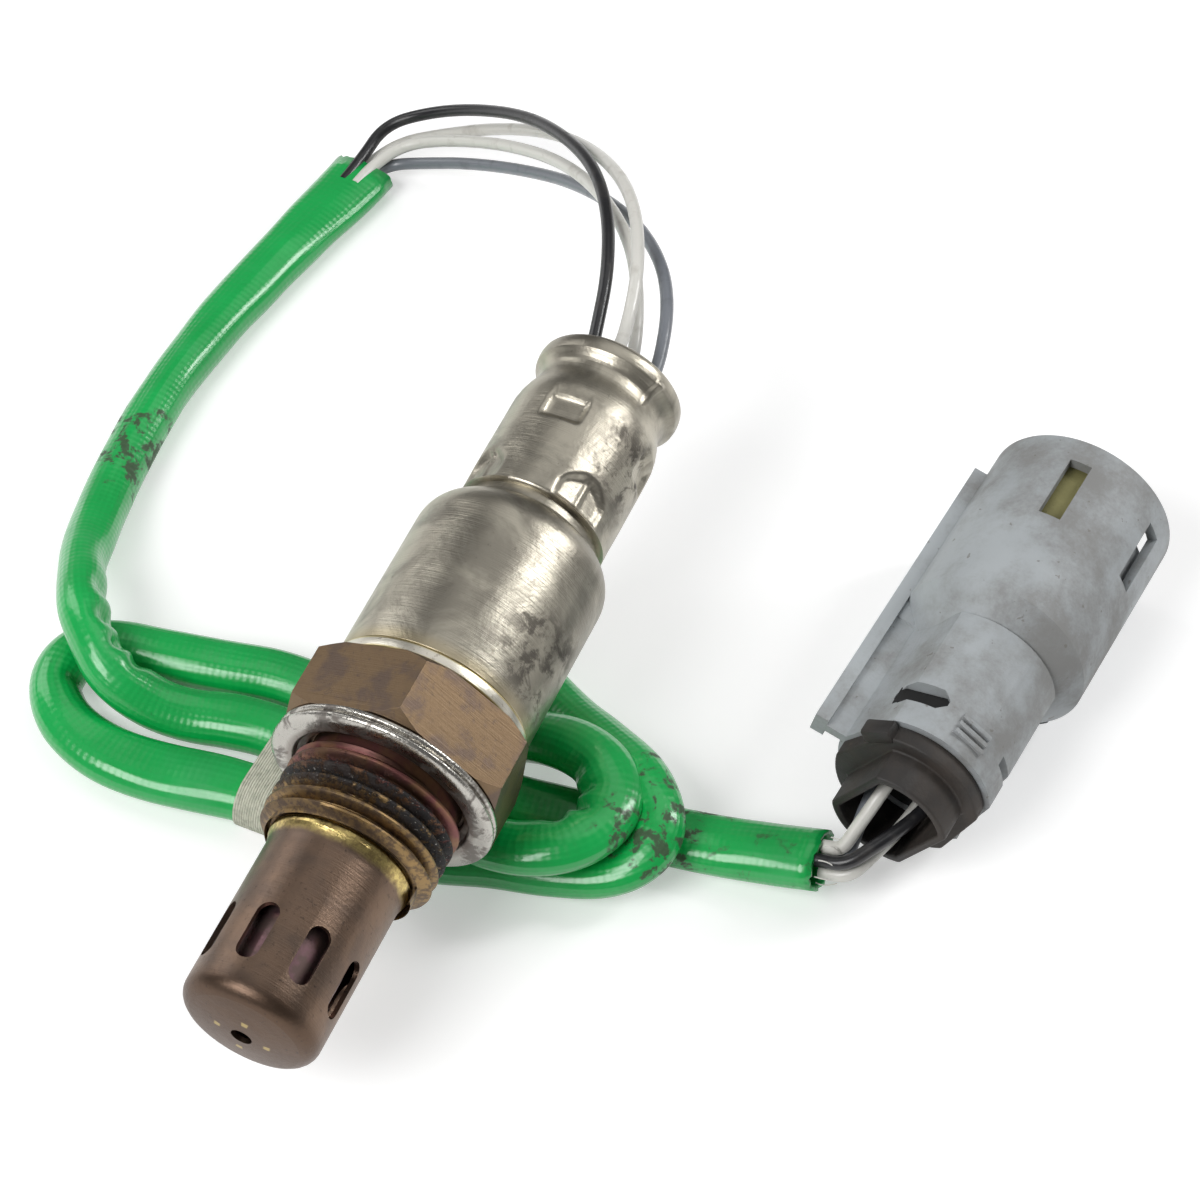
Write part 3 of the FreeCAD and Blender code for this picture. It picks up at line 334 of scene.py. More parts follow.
# Protective sleeve.
# A single length of green coated braid, about 5.5 mm across, folded into a loose hank under the
# sensor. It is limp: it lies flat where it is pressed, creases where it turns and frays at its cut.
SLEEVE_ROUTE = [
    (-48.9, 90.5, 2.7), (-50.0, 80.3, 2.7), (-51.9, 66.2, 2.7), (-52.6, 54.5, 2.7),
    (-52.1, 43.7, 2.7), (-50.6, 34.1, 2.9), (-48.5, 26.6, 4.2), (-45.6, 20.4, 6.8),
    (-42.4, 15.2, 8.4), (-39.2, 11.6, 8.4), (-35.8, 9.6, 6.8), (-32.0, 9.6, 4.3),
    (-27.6, 10.6, 3.0), (-23.5, 11.8, 3.05), (-18.5, 12.4, 3.13), (-11.6, 11.4, 3.12),
    (-5.6, 9.9, 3.05), (-0.4, 9.4, 3.2), (4.0, 8.2, 5.0), (8.0, 6.8, 6.7), (12.2, 7.0, 7.7),
    (16.2, 9.3, 8.3), (17.8, 13.2, 8.5), (16.6, 17.2, 8.4), (13.2, 19.8, 8.2), (8.8, 20.9, 7.0),
    (4.0, 21.4, 4.5), (-1.5, 20.9, 2.8), (-6.6, 22.6, 2.7), (-7.6, 27.0, 2.75), (-4.0, 30.2, 2.7),
    (1.6, 29.8, 2.75), (7.4, 26.6, 3.3), (12.4, 23.8, 5.2), (17.0, 21.0, 7.0), (20.8, 17.8, 7.7),
    (22.8, 14.4, 7.2), (21.6, 11.6, 5.4), (18.2, 10.0, 3.7), (13.6, 9.0, 2.8), (8.6, 7.8, 2.7),
    (3.4, 5.8, 2.7), (-2.4, 4.2, 2.7), (-9.0, 3.6, 3.05), (-15.8, 4.5, 3.12), (-22.0, 4.0, 3.05),
    (-28.3, 3.0, 2.7), (-34.4, 3.0, 2.75), (-39.6, 4.9, 2.7), (-42.8, 8.6, 2.7), (-42.9, 13.0, 2.7),
    (-39.6, 15.7, 2.75), (-33.6, 16.5, 2.7), (-27.2, 17.9, 2.75), (-20.5, 19.4, 2.7),
    (-11.5, 18.1, 2.75), (-3.0, 14.8, 2.7), (5.8, 14.4, 2.75), (14.4, 16.1, 2.7),
    (23.5, 17.6, 2.75), (31.4, 19.1, 3.1), (38.1, 19.4, 5.0),
]
SLEEVE_WIDTH = 5.4
SLEEVE_WALL = 0.45
SLEEVE_RING = 40
KNOT_LENGTH = 5.5
WAVINESS = 0.16
CUT_ROUGHNESS = 0.45
BRAID_STRANDS = 13.0
BRAID_SLANT = 4.3
# The route's point, and the half width and half height of the sleeve's section there
SLEEVE_SECTIONS = [
    (0, 4.0, 1.9), (1, 3.3, 2.4), (3, 2.8, 2.65), (6, 2.75, 2.6), (8, 2.7, 2.6), (10, 2.85, 2.5),
    (13, 3.0, 2.6), (16, 2.9, 2.6), (19, 3.0, 2.1), (21, 3.2, 2.2), (23, 3.3, 2.2), (26, 2.9, 2.4),
    (30, 2.8, 2.6), (34, 2.9, 2.2), (36, 2.9, 2.1), (39, 3.0, 2.1), (43, 3.0, 2.6), (46, 3.5, 2.3),
    (49, 2.8, 2.6), (53, 3.0, 2.6), (58, 3.1, 2.3), (60, 3.4, 2.3), (61, 3.4, 2.4),
]
# Dents: the route's point, the way round from the right hand side, the depth, and the reach along
# and round
SLEEVE_DENTS = [
    (6.4, 165, 0.7, 2.4, 40), (7.4, 160, 1.0, 1.7, 40), (8.3, 155, 1.2, 1.6, 38),
    (9.1, 150, 1.2, 1.4, 36), (9.9, 150, 0.8, 1.5, 36), (8.7, 30, 0.3, 3.0, 40),
    (20.6, 160, 0.7, 2.0, 35), (21.6, 150, 1.0, 1.6, 38), (22.6, 160, 0.9, 1.6, 36),
    (23.6, 155, 0.6, 2.0, 34), (35.6, 30, 0.5, 2.0, 40), (49.3, 30, 0.6, 1.8, 40),
    (50.3, 25, 0.5, 1.6, 36), (3.2, 60, 0.3, 6.0, 30), (5.2, 110, 0.25, 7.0, 26),
    (12.5, 70, 0.25, 8.0, 30), (46.5, 85, 0.4, 9.0, 34), (54.0, 95, 0.25, 9.0, 30),
    (59.0, 75, 0.35, 8.0, 30), (59.8, 120, 0.4, 4.0, 30), (1.4, 70, 0.4, 6.0, 32),
]


def between(table, place):
    """Reads a table of (place, value, value), smoothly from one row to the next."""
    for before, after in zip(table, table[1:]):
        if place <= after[0]:
            share = (place - before[0]) / (after[0] - before[0])
            share = share * share * (3 - 2 * share)
            return [low + (high - low) * share for low, high in zip(before[1:], after[1:])]
    return table[-1][1:]


def link_piece(mesh, name, material, smooth_angle):
    """Turns a finished mesh into a piece whose edges are sharp above an angle."""
    bmesh.ops.recalc_face_normals(mesh, faces=mesh.faces)
    data = bpy.data.meshes.new(name)
    mesh.to_mesh(data)
    mesh.free()
    data.shade_smooth()
    data.set_sharp_from_angle(angle=math.radians(smooth_angle))
    shown = bpy.data.objects.new(name, data)
    shown.data.materials.append(material)
    bpy.context.collection.objects.link(shown)
    return shown


def sleeve_skin():
    """Glossy green varnish over a fine braid, with rubbed-in dirt."""
    skin = Finish("sleeve_skin", Coat_Roughness=0.12)
    laid = skin.node("ShaderNodeAttribute", {"attribute_name": "laid"}, {}, "Vector")
    parts = skin.tree.nodes.new("ShaderNodeSeparateXYZ")
    skin.connect(parts.inputs[0], laid)
    across, rise, run = (Signal(skin, parts.outputs[number]) for number in range(3))
    turn = across.join("ARCTAN2", rise, across)
    left = turn.join("SINE", turn * BRAID_STRANDS + run * BRAID_SLANT, 0.0)
    right = turn.join("SINE", turn * BRAID_STRANDS - run * BRAID_SLANT, 0.0)
    braid = left * right
    place = skin.place()
    slow = skin.cloud(place, 0.12, 3.0)
    ripple = skin.cloud(laid, 0.35, 3.0)
    specks = skin.step(skin.cloud(place, 0.9, 6.0, 0.7), 0.64, 0.72)
    east = skin.along(place, (1, 0, 0))
    north = skin.along(place, (0, 1, 0))
    left_smear = skin.band(north, 33.0, 46.0, 4.0) * skin.step(east, -40.0, -48.0)
    right_smear = skin.band(east, 17.5, 26.0, 2.0) * skin.band(north, 9.0, 24.0, 2.0)
    third_smear = skin.band(east, 25.0, 39.0, 2.0) * 0.5
    smear = left_smear + right_smear + third_smear
    grime = skin.step(skin.cloud(place, 0.5, 6.0, 0.65, 0.4) + smear * 0.12, 0.6, 0.74) * smear
    film = skin.step(skin.cloud(laid, 0.16, 4.0), 0.5, 0.75)
    green = skin.blend(slow, (0.0, 0.32, 0.055), (0.004, 0.5, 0.1))
    green = skin.blend(film * 0.12, green, (0.08, 0.42, 0.2))
    green = skin.blend(specks * 0.35, green, (0.03, 0.09, 0.04))
    green = skin.blend(skin.step(grime, 0.05, 0.7) * 0.85, green, (0.05, 0.045, 0.035))
    skin.emboss(braid * 0.16 + ripple * 0.9, 0.11)
    return skin.coat(
        Base_Color=green,
        Roughness=0.3 + film * 0.14 + grime * 0.4,
        Coat_Weight=0.6 - grime * 0.5,
    )


sleeve_points = over_bench(SLEEVE_ROUTE)
sleeve_path = path_of(sleeve_points)
last = len(sleeve_path) - 1
sleeve_mesh = bmesh.new()
laid_layer = sleeve_mesh.verts.layers.float_vector.new("laid")
bmesh.ops.create_circle(sleeve_mesh, segments=SLEEVE_RING, radius=SLEEVE_WIDTH / 2 * MM)
ring_edges = list(sleeve_mesh.edges)
ring_verts = list(sleeve_mesh.verts)
run = 0.0
for index, centre in enumerate(sleeve_path):
    if index:
        grown = bmesh.ops.extrude_edge_only(sleeve_mesh, edges=ring_edges)["geom"]
        ring_edges = [
            item for item in grown if isinstance(item, bmesh.types.BMEdge) and item.is_boundary
        ]
        fresh = {item for item in grown if isinstance(item, bmesh.types.BMVert)}
        ring_verts = [
            next(edge.other_vert(vert) for edge in vert.link_edges if edge.other_vert(vert) in fresh)
            for vert in ring_verts
        ]
        run += (centre - sleeve_path[index - 1]).length / MM
    ahead = sleeve_path[min(index + 1, last)]
    heading = (ahead - sleeve_path[max(index - 1, 0)]).normalized()
    side = heading.cross(Vector((0, 0, 1))).normalized()
    top = side.cross(heading)
    knot = index / last * (len(SLEEVE_ROUTE) - 1)
    half_width, half_height = between(SLEEVE_SECTIONS, knot)
    lowered = top * ((SLEEVE_WIDTH / 2 - half_height) * MM)
    for number, vert in enumerate(ring_verts):
        turn = 2 * math.pi * number / SLEEVE_RING
        out = Vector((half_width * math.cos(turn), half_height * math.sin(turn)))
        sunk = 0.0
        for at, way, depth, reach, spread in SLEEVE_DENTS:
            far = (knot - at) * KNOT_LENGTH / reach
            off = (math.degrees(turn) - way + 180) % 360 - 180
            if abs(far) < 3 and abs(off) < 3 * spread:
                sunk += depth * math.exp(-far * far - (off / spread) ** 2)
        wave = WAVINESS * noise.noise(Vector((out.x * 0.35, out.y * 0.35, run * 0.16)))
        out *= 1 + (wave - sunk) / out.length
        vert.co = centre - lowered + (side * out.x + top * out.y) * MM
        if index in (0, last):
            ragged = noise.noise(Vector((out.x * 1.7, out.y * 1.7, run)))
            vert.co += heading * CUT_ROUGHNESS * MM * ragged
        laid = (math.cos(turn) * SLEEVE_WIDTH / 2, math.sin(turn) * SLEEVE_WIDTH / 2, run)
        vert[laid_layer] = laid
sleeve = link_piece(sleeve_mesh, "green_sleeve", sleeve_skin(), 180)
walls = sleeve.modifiers.new("wall", "SOLIDIFY")
walls.thickness = SLEEVE_WALL * MM
walls.offset = -1
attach(sleeve, "root")
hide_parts("protective_sleeve")

# Metal shell.
# The threaded body is turned from steel and plated. Exhaust heat has browned its hexagon and the
# thread carries black anti-seize paste, while the weld collar above stays bright.
AXIS = Vector((0, math.cos(LIE_ANGLE), math.sin(LIE_ANGLE)))
UP = Vector((0, -math.sin(LIE_ANGLE), math.cos(LIE_ANGLE)))
THREAD_CREST = 8.97
THREAD_ROOT = 7.9
PITCH = 1.5
THREAD_START = 20.3
HEX_ACROSS = 22.0
HEX_START = 30.0
HEX_END = 37.5
HEX_ROLL = math.radians(9.4)
HEX_CORNER = HEX_ACROSS / math.sqrt(3)
HELIX_START = 19.6
HELIX_TURNS = 6
TURN_STEPS = 120
BURIED = 7.85
NEAR = 1e-3


def lathe(profile, steps=144):
    """Spins a closed profile of (station, radius, rounding) round the axis and rounds its corners."""
    mesh = bmesh.new()
    verts = [mesh.verts.new((radius * MM, 0, station * MM)) for station, radius, rounding in profile]
    edges = [mesh.edges.new(pair) for pair in zip(verts, verts[1:] + verts[:1])]
    bmesh.ops.spin(
        mesh, geom=verts + edges, axis=(0, 0, 1), cent=(0, 0, 0), angle=2 * math.pi, steps=steps,
        use_merge=True,
    )
    bmesh.ops.remove_doubles(mesh, verts=mesh.verts, dist=NEAR * MM)
    for station, radius, rounding in profile:
        if rounding:
            ring = [
                edge for edge in mesh.edges
                if all(
                    abs(vert.co.z / MM - station) < NEAR
                    and abs(vert.co.xy.length / MM - radius) < NEAR
                    for vert in edge.verts
                )
            ]
            bmesh.ops.bevel(
                mesh, geom=ring, offset=rounding * MM, offset_type="OFFSET", segments=5, profile=0.5,
                affect="EDGES", clamp_overlap=True, material=-1,
            )
    return mesh


def combine(mesh, tool, operation):
    """Cuts one mesh with another, or keeps what both share."""
    parts = []
    for source in (mesh, tool):
        bmesh.ops.recalc_face_normals(source, faces=source.faces)
        data = bpy.data.meshes.new("part")
        source.to_mesh(data)
        source.free()
        part = bpy.data.objects.new("part", data)
        bpy.context.collection.objects.link(part)
        parts.append(part)
    cut = parts[0].modifiers.new("cut", "BOOLEAN")
    cut.operation = operation
    cut.solver = "EXACT"
    cut.object = parts[1]
    depsgraph = bpy.context.evaluated_depsgraph_get()
    made = bpy.data.meshes.new_from_object(parts[0].evaluated_get(depsgraph))
    result = bmesh.new()
    result.from_mesh(made)
    bpy.data.meshes.remove(made)
    for part in parts:
        bpy.data.objects.remove(part)
    return result


def settle(shown, nodes):
    """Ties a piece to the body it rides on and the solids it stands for."""
    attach(shown, "root")
    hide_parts(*nodes)


def soften(shown, width):
    """Rounds every sharp edge of a piece."""
    edge = shown.modifiers.new("edge", "BEVEL")
    edge.width = width * MM
    edge.segments = 2
    edge.limit_method = "ANGLE"
    edge.angle_limit = math.radians(30)
    edge.harden_normals = True


def on_sensor(skin):
    """Place, station from the tip and turn from the top, for a piece of the sensor."""
    place = skin.place()
    station = skin.along(place, AXIS, SEAT_STATION)
    side = skin.along(place, (1, 0, 0))
    return place, station, side.join("ARCTAN2", side, skin.along(place, UP))


def rings(skin, place, station, pitch):
    """Fine marks that run round the axis, as a lathe or a drawing die leaves them."""
    lines = skin.node("ShaderNodeCombineXYZ", {}, {0: station * pitch})
    drift = skin.node("ShaderNodeVectorMath", {"operation": "SCALE"}, {0: place, "Scale": 0.22})
    spread = skin.node("ShaderNodeVectorMath", {"operation": "ADD"}, {0: lines, 1: drift})
    return skin.cloud(spread, 1.0, 3.0)


def shell_skin():
    """Browned plating, a heat-tinted thread with paste in its turns, and a bright collar."""
    skin = Finish("shell_skin", Metallic=1.0)
    place, station, turn = on_sensor(skin)
    fine = skin.cloud(place, 1.4, 5.0, 0.7)
    slow = skin.cloud(place, 0.28, 4.0, 0.6, 0.5)
    lumps = skin.cloud(place, 1.1, 6.0, 0.75)
    blot = skin.step(slow, 0.46, 0.62)
    hexagon = skin.blend(blot * 0.8, (0.215, 0.148, 0.09), (0.145, 0.108, 0.09))
    hexagon = skin.blend(skin.step(fine, 0.58, 0.66) * 0.5, hexagon, (0.12, 0.095, 0.085))
    heat = skin.blend(skin.step(slow, 0.4, 0.6), (0.27, 0.15, 0.085), (0.22, 0.09, 0.085))
    lower = skin.blend(skin.step(fine, 0.42, 0.6), (0.33, 0.22, 0.1), (0.15, 0.105, 0.07))
    thread = skin.blend(skin.step(station, 24.2, 25.4), lower, heat)
    paste_zone = skin.band(station, 22.9, 26.3, 0.7)
    paste = skin.step(lumps * 0.7 + slow * 0.3 + paste_zone * 0.18, 0.6, 0.7) * paste_zone
    thread = skin.blend(paste, thread, (0.018, 0.016, 0.016))
    flecks = skin.step(skin.cloud(place, 3.4, 3.0), 0.64, 0.69) * paste
    thread = skin.blend(flecks, thread, (0.5, 0.48, 0.45))
    collar_edge = skin.band(station, 37.7, 38.15, 0.12) + skin.band(station, 39.0, 39.4, 0.12)
    collar = skin.blend(collar_edge, (0.78, 0.74, 0.64), (0.6, 0.5, 0.24))
    collar = skin.blend(skin.step(fine, 0.56, 0.64) * 0.5, collar, (0.3, 0.25, 0.19))
    # Painted shade: the thread's roots are darkened along the helix, so the crests stand out.
    climb = station - HELIX_START + turn * round(PITCH / (2 * math.pi), 4)
    groove = climb.join("PINGPONG", climb, PITCH / 2)
    thread = skin.blend(skin.step(groove, 0.3, 0.62) * 0.55, thread, (0.05, 0.035, 0.03))
    color = skin.blend(skin.step(station, 28.6, 29.6), thread, hexagon)
    color = skin.blend(skin.step(station, 37.5, 37.62), color, collar)
    bright = skin.step(station, 37.5, 37.62)
    skin.emboss(lumps * (0.18 + paste * 2.2) + rings(skin, place, station, 9.0) * 0.12, 0.14)
    return skin.coat(
        Base_Color=color,
        Metallic=1.0 - paste * 0.75 + flecks * 0.5,
        Roughness=0.42 - bright * 0.16 + fine * 0.1 + paste * 0.12,
    )


shell_mesh = lathe([
    (THREAD_START, 7.05, 0.1), (THREAD_START, 7.75, 0.2), (20.8, THREAD_ROOT, 0.1),
    (28.2, THREAD_ROOT, 0), (30.4, 8.0, 0), (30.4, 9.6, 0), (37.3, 9.9, 0), (37.9, 9.9, 0),
    (37.9, 10.4, 0.25), (39.3, 10.4, 0.3), (39.3, 9.62, 0), (46.1, 9.62, 0), (46.1, 8.5, 0),
    (34.0, 8.5, 0), (33.0, 5.0, 0), (23.2, 5.0, 0), (23.2, 7.05, 0),
])
thread_mesh = bmesh.new()
tooth = [
    (THREAD_ROOT, -PITCH / 2), (7.94, -0.66), (8.84, -0.24), (THREAD_CREST, -0.1),
    (THREAD_CREST, 0.1), (8.84, 0.24), (7.94, 0.66), (THREAD_ROOT, PITCH / 2),
]
tooth_verts = [
    thread_mesh.verts.new((radius * MM, 0, (HELIX_START + rise) * MM)) for radius, rise in tooth
]
tooth_edges = [thread_mesh.edges.new(pair) for pair in zip(tooth_verts, tooth_verts[1:])]
bmesh.ops.spin(
    thread_mesh, geom=tooth_verts + tooth_edges, axis=(0, 0, 1), cent=(0, 0, 0),
    dvec=(0, 0, PITCH / TURN_STEPS * MM), angle=2 * math.pi * HELIX_TURNS,
    steps=HELIX_TURNS * TURN_STEPS,
)
bmesh.ops.remove_doubles(thread_mesh, verts=thread_mesh.verts, dist=NEAR * MM)
for vert in thread_mesh.verts:
    station = vert.co.z / MM
    shown_share = min(max((station - 20.25) / 0.4, 0), 1) * min(max((28.1 - station) / 0.4, 0), 1)
    radius = vert.co.xy.length / MM
    wear = 0.06 * noise.noise(vert.co * 420)
    vert.co.xy *= (BURIED + (radius + wear - BURIED) * shown_share) / radius
hex_mesh = bmesh.new()
bmesh.ops.create_cone(
    hex_mesh, cap_ends=True, segments=6, radius1=HEX_CORNER * MM, radius2=HEX_CORNER * MM,
    depth=(HEX_END - HEX_START) * MM,
)
bmesh.ops.translate(hex_mesh, verts=hex_mesh.verts, vec=(0, 0, (HEX_START + HEX_END) / 2 * MM))
bmesh.ops.rotate(
    hex_mesh, verts=hex_mesh.verts, cent=(0, 0, 0), matrix=Matrix.Rotation(HEX_ROLL, 3, "Z")
)
bobbin = lathe([
    (29.0, 1.0, 0), (29.0, 10.4, 0), (HEX_START, 11.55, 0), (31.0, 12.75, 0), (36.5, 12.75, 0),
    (HEX_END, 11.55, 0), (38.5, 10.4, 0), (38.5, 1.0, 0),
])
hex_mesh = combine(hex_mesh, bobbin, "INTERSECT")
shell_data = bpy.data.meshes.new("turned")
for extra in (thread_mesh, hex_mesh):
    extra.to_mesh(shell_data)
    extra.free()
    shell_mesh.from_mesh(shell_data)
shell_mesh.transform(SENSOR)
shell = link_piece(shell_mesh, "shell", shell_skin(), 32)
soften(shell, 0.16)
settle(shell, ["metal_shell"])

# Crush gasket.
# A ring folded from bright steel strip. It is captive behind the thread, and its two laps show as
# ridges with dark stains between them.
GASKET_WARP = 0.07


def off_axis(skin, place):
    """How far a place lies from the sensor's axis."""
    side = skin.along(place, (1, 0, 0))
    rise = skin.along(place, UP)
    return side.join("SQRT", side * side + rise * rise, 0.0)


def gasket_skin():
    """Bright strip with dark stains, and painted shade and more roughness towards its bore."""
    skin = Finish("gasket_skin", Metallic=1.0)
    place = skin.place()
    stain = skin.step(skin.cloud(place, 0.35, 5.0, 0.65, 0.6), 0.5, 0.6)
    fine = skin.cloud(place, 1.8, 4.0)
    # Painted shade: the face is darker, and a little rougher, towards the bore, where it meets the
    # shell.
    inner = skin.step(off_axis(skin, place), 10.3, 9.6)
    color = skin.blend(stain * 0.7, (0.5, 0.48, 0.44), (0.12, 0.1, 0.09))
    color = skin.blend(inner * 0.6, color, (0.2, 0.16, 0.14))
    skin.emboss(fine, 0.06)
    return skin.coat(Base_Color=color, Roughness=0.26 + stain * 0.22 + inner * 0.1)


gasket_mesh = lathe([
    (28.2, 9.3, 0.2), (28.2, 11.1, 0.3), (28.5, 11.75, 0.25), (28.95, 11.75, 0.2),
    (29.15, 11.3, 0.08), (29.35, 11.68, 0.15), (29.75, 11.68, 0.15), (30.0, 11.2, 0.1),
    (30.0, 8.3, 0.1), (29.2, 8.3, 0.2), (28.8, 9.1, 0.1),
], 192)
for vert in gasket_mesh.verts:
    turn = math.atan2(vert.co.y, vert.co.x)
    around = Vector((math.cos(turn) * 2.2, math.sin(turn) * 2.2, vert.co.z * 900))
    vert.co.z += GASKET_WARP * MM * noise.noise(around)
gasket_mesh.transform(SENSOR)
gasket = link_piece(gasket_mesh, "gasket", gasket_skin(), 50)
settle(gasket, ["gasket_ring"])

# Outer shield.
# A thin cup drawn from heat-proof steel with a punched nose hole and eight slots. Hot gas has
# browned it, and its flared foot by the shell has turned golden.
SHIELD_RADIUS = 7.0
SHIELD_WALL = 0.5
SLOT_WIDTH = 2.35
SLOT_START = 4.4
SLOT_END = 10.5
SLOT_ROLL = -10.4
SLOT_COUNT = 8


def shield_skin():
    """Browned steel with a golden foot and four small bright marks round the nose hole."""
    skin = Finish("shield_skin", Metallic=1.0)
    place, station, turn = on_sensor(skin)
    slow = skin.cloud(place, 0.2, 4.0, 0.6, 0.3)
    fine = skin.cloud(place, 1.7, 5.0, 0.7)
    color = skin.blend(skin.step(slow, 0.36, 0.64), (0.155, 0.112, 0.088), (0.21, 0.142, 0.102))
    nose = skin.step(station, 3.4, 1.4)
    color = skin.blend(nose * 0.8, color, (0.105, 0.068, 0.048))
    color = skin.blend(skin.step(fine, 0.58, 0.7) * 0.7, color, (0.07, 0.055, 0.05))
    petals = turn.join("SINE", turn * 4.0 + 0.6, 0.0)
    dimples = skin.step(petals, 0.82, 0.94) * skin.band(off_axis(skin, place), 2.25, 2.85, 0.12)
    dimples = dimples * skin.step(station, 1.2, 0.8)
    color = skin.blend(dimples, color, (0.42, 0.32, 0.14))
    foot = skin.step(station + slow * 1.2, 18.9, 19.7)
    gold = skin.blend(skin.step(fine, 0.4, 0.62), (0.66, 0.52, 0.2), (0.38, 0.28, 0.12))
    color = skin.blend(foot, color, gold)
    skin.emboss(fine * 0.5 + rings(skin, place, station, 5.0) * 0.3, 0.06)
    return skin.coat(Base_Color=color, Roughness=0.33 + fine * 0.12 - foot * 0.1)


shield_mesh = lathe([
    (0.0, 1.08, 0), (0.1, 2.6, 0.5), (0.42, 4.9, 0.8), (0.9, SHIELD_RADIUS, 1.7),
    (18.7, SHIELD_RADIUS, 0.8), (19.4, 7.36, 0.2), (20.0, 7.4, 0.15), (20.15, 7.02, 0.08),
    (23.0, 7.02, 0), (23.0, 6.5, 0), (1.4, SHIELD_RADIUS - SHIELD_WALL, 1.2), (0.92, 4.9, 0.5),
    (0.6, 2.6, 0.3), (0.5, 1.08, 0),
])
slots = bmesh.new()
slot_data = bpy.data.meshes.new("slot")
for number in range(SLOT_COUNT):
    slot = bmesh.new()
    bmesh.ops.create_cube(slot, size=MM)
    bmesh.ops.scale(slot, verts=slot.verts, vec=(4, SLOT_WIDTH, SLOT_END - SLOT_START))
    slot_centre = Vector((SHIELD_RADIUS, 0, (SLOT_START + SLOT_END) / 2)) * MM
    bmesh.ops.translate(slot, verts=slot.verts, vec=slot_centre)
    across = [edge for edge in slot.edges if abs(edge.verts[0].co.x - edge.verts[1].co.x) > MM]
    bmesh.ops.bevel(
        slot, geom=across, offset=SLOT_WIDTH * 0.49 * MM, offset_type="OFFSET", segments=6,
        profile=0.5, affect="EDGES", clamp_overlap=True, material=-1,
    )
    slot.transform(Matrix.Rotation(math.radians(SLOT_ROLL + number * 360 / SLOT_COUNT), 4, "Z"))
    slot.to_mesh(slot_data)
    slot.free()
    slots.from_mesh(slot_data)
shield_mesh = combine(shield_mesh, slots, "DIFFERENCE")
shield_mesh.transform(SENSOR)
shield = link_piece(shield_mesh, "shield", shield_skin(), 32)
soften(shield, 0.07)
settle(shield, ["outer_shield"])

# Inner shield.
# A second drawn cup stands inside the slotted one. Heat has turned it pink and violet.


def inner_skin():
    """Steel that heat has turned pink and violet."""
    skin = Finish("inner_skin", Metallic=1.0)
    place = skin.place()
    hue = skin.step(skin.cloud(place, 0.5, 3.0), 0.4, 0.6)
    color = skin.blend(hue, (0.34, 0.2, 0.22), (0.2, 0.14, 0.13))
    return skin.coat(Base_Color=color, Roughness=0.34 + hue * 0.1)


inner_mesh = lathe([
    (3.4, 0.8, 0.05), (3.5, 4.2, 0.5), (4.0, 5.5, 0.9), (23.0, 5.5, 0), (23.0, 5.1, 0),
    (4.4, 5.1, 0.6), (3.9, 4.0, 0.3), (3.8, 0.8, 0.05),
], 96)
inner_mesh.transform(SENSOR)
inner_shield = link_piece(inner_mesh, "inner_cup", inner_skin(), 40)
settle(inner_shield, ["inner_shield"])

# Lower cover.
# A deep-drawn stainless sleeve, welded to the collar and rounded in over the wires. It is satin,
# with handling smudges, and a patchy dark reflection is painted low on its right.
COVER_RADIUS = 10.28
SHOULDER = 4.3


def cover_skin(name, painted_band_start, painted_band_end):
    """Satin stainless with smudges and pits, and a painted dark reflection low on its right."""
    skin = Finish(name, Metallic=1.0)
    place, station, turn = on_sensor(skin)
    slow = skin.cloud(place, 0.14, 5.0, 0.62, 0.5)
    fine = skin.cloud(place, 1.2, 6.0, 0.72)
    marks = rings(skin, place, station, 7.0)
    color = skin.blend(skin.step(slow, 0.4, 0.64), (0.5, 0.465, 0.385), (0.3, 0.278, 0.232))
    # Painted dark reflection: a patchy darker band on the right side, between the stations given; it
    # is also rougher.
    painted_dark_reflection = skin.band(station, painted_band_start, painted_band_end, 2.0) * skin.band(turn, 0.62, 1.6, 0.2)
    painted_dark_reflection = painted_dark_reflection * skin.step(skin.cloud(place, 0.42, 6.0, 0.68, 0.4), 0.44, 0.6)
    pits = skin.step(fine, 0.62, 0.7)
    color = skin.blend(pits * 0.55, color, (0.16, 0.14, 0.12))
    color = skin.blend(painted_dark_reflection * 0.85, color, (0.09, 0.08, 0.07))
    tint = skin.step(station, 41.2, 39.5)
    color = skin.blend(tint * 0.6, color, (0.5, 0.42, 0.26))
    skin.emboss(fine * 0.35 + marks * 0.4 + slow * 2.0, 0.07)
    return skin.coat(Base_Color=color, Roughness=0.25 + fine * 0.1 + slow * 0.1 + painted_dark_reflection * 0.25)


def arc(station, radius, bend, start, end, steps):
    """Points of a profile on a circle, from one angle to the other."""
    angles = [math.radians(start + (end - start) * step / steps) for step in range(steps + 1)]
    return [
        (station + bend * math.sin(angle), radius + bend * math.cos(angle), 0) for angle in angles
    ]


lower_mesh = lathe(
    [(39.3, COVER_RADIUS, 0.1)]
    + arc(56.5, COVER_RADIUS - SHOULDER, SHOULDER, 0, 69, 12)
    + [
        (60.75, 7.39, 0.1), (61.9, 7.3, 0), (62.3, 6.35, 0), (67.0, 6.35, 0), (67.0, 5.9, 0),
        (59.6, 5.9, 0), (58.0, 8.9, 0), (56.5, 9.68, 0), (39.3, 9.68, 0),
    ]
)
lower_mesh.transform(SENSOR)
lower_cover = link_piece(lower_mesh, "cover_sleeve", cover_skin("lower_cover_skin", 40.5, 50.0), 40)
settle(lower_cover, ["lower_cover"])

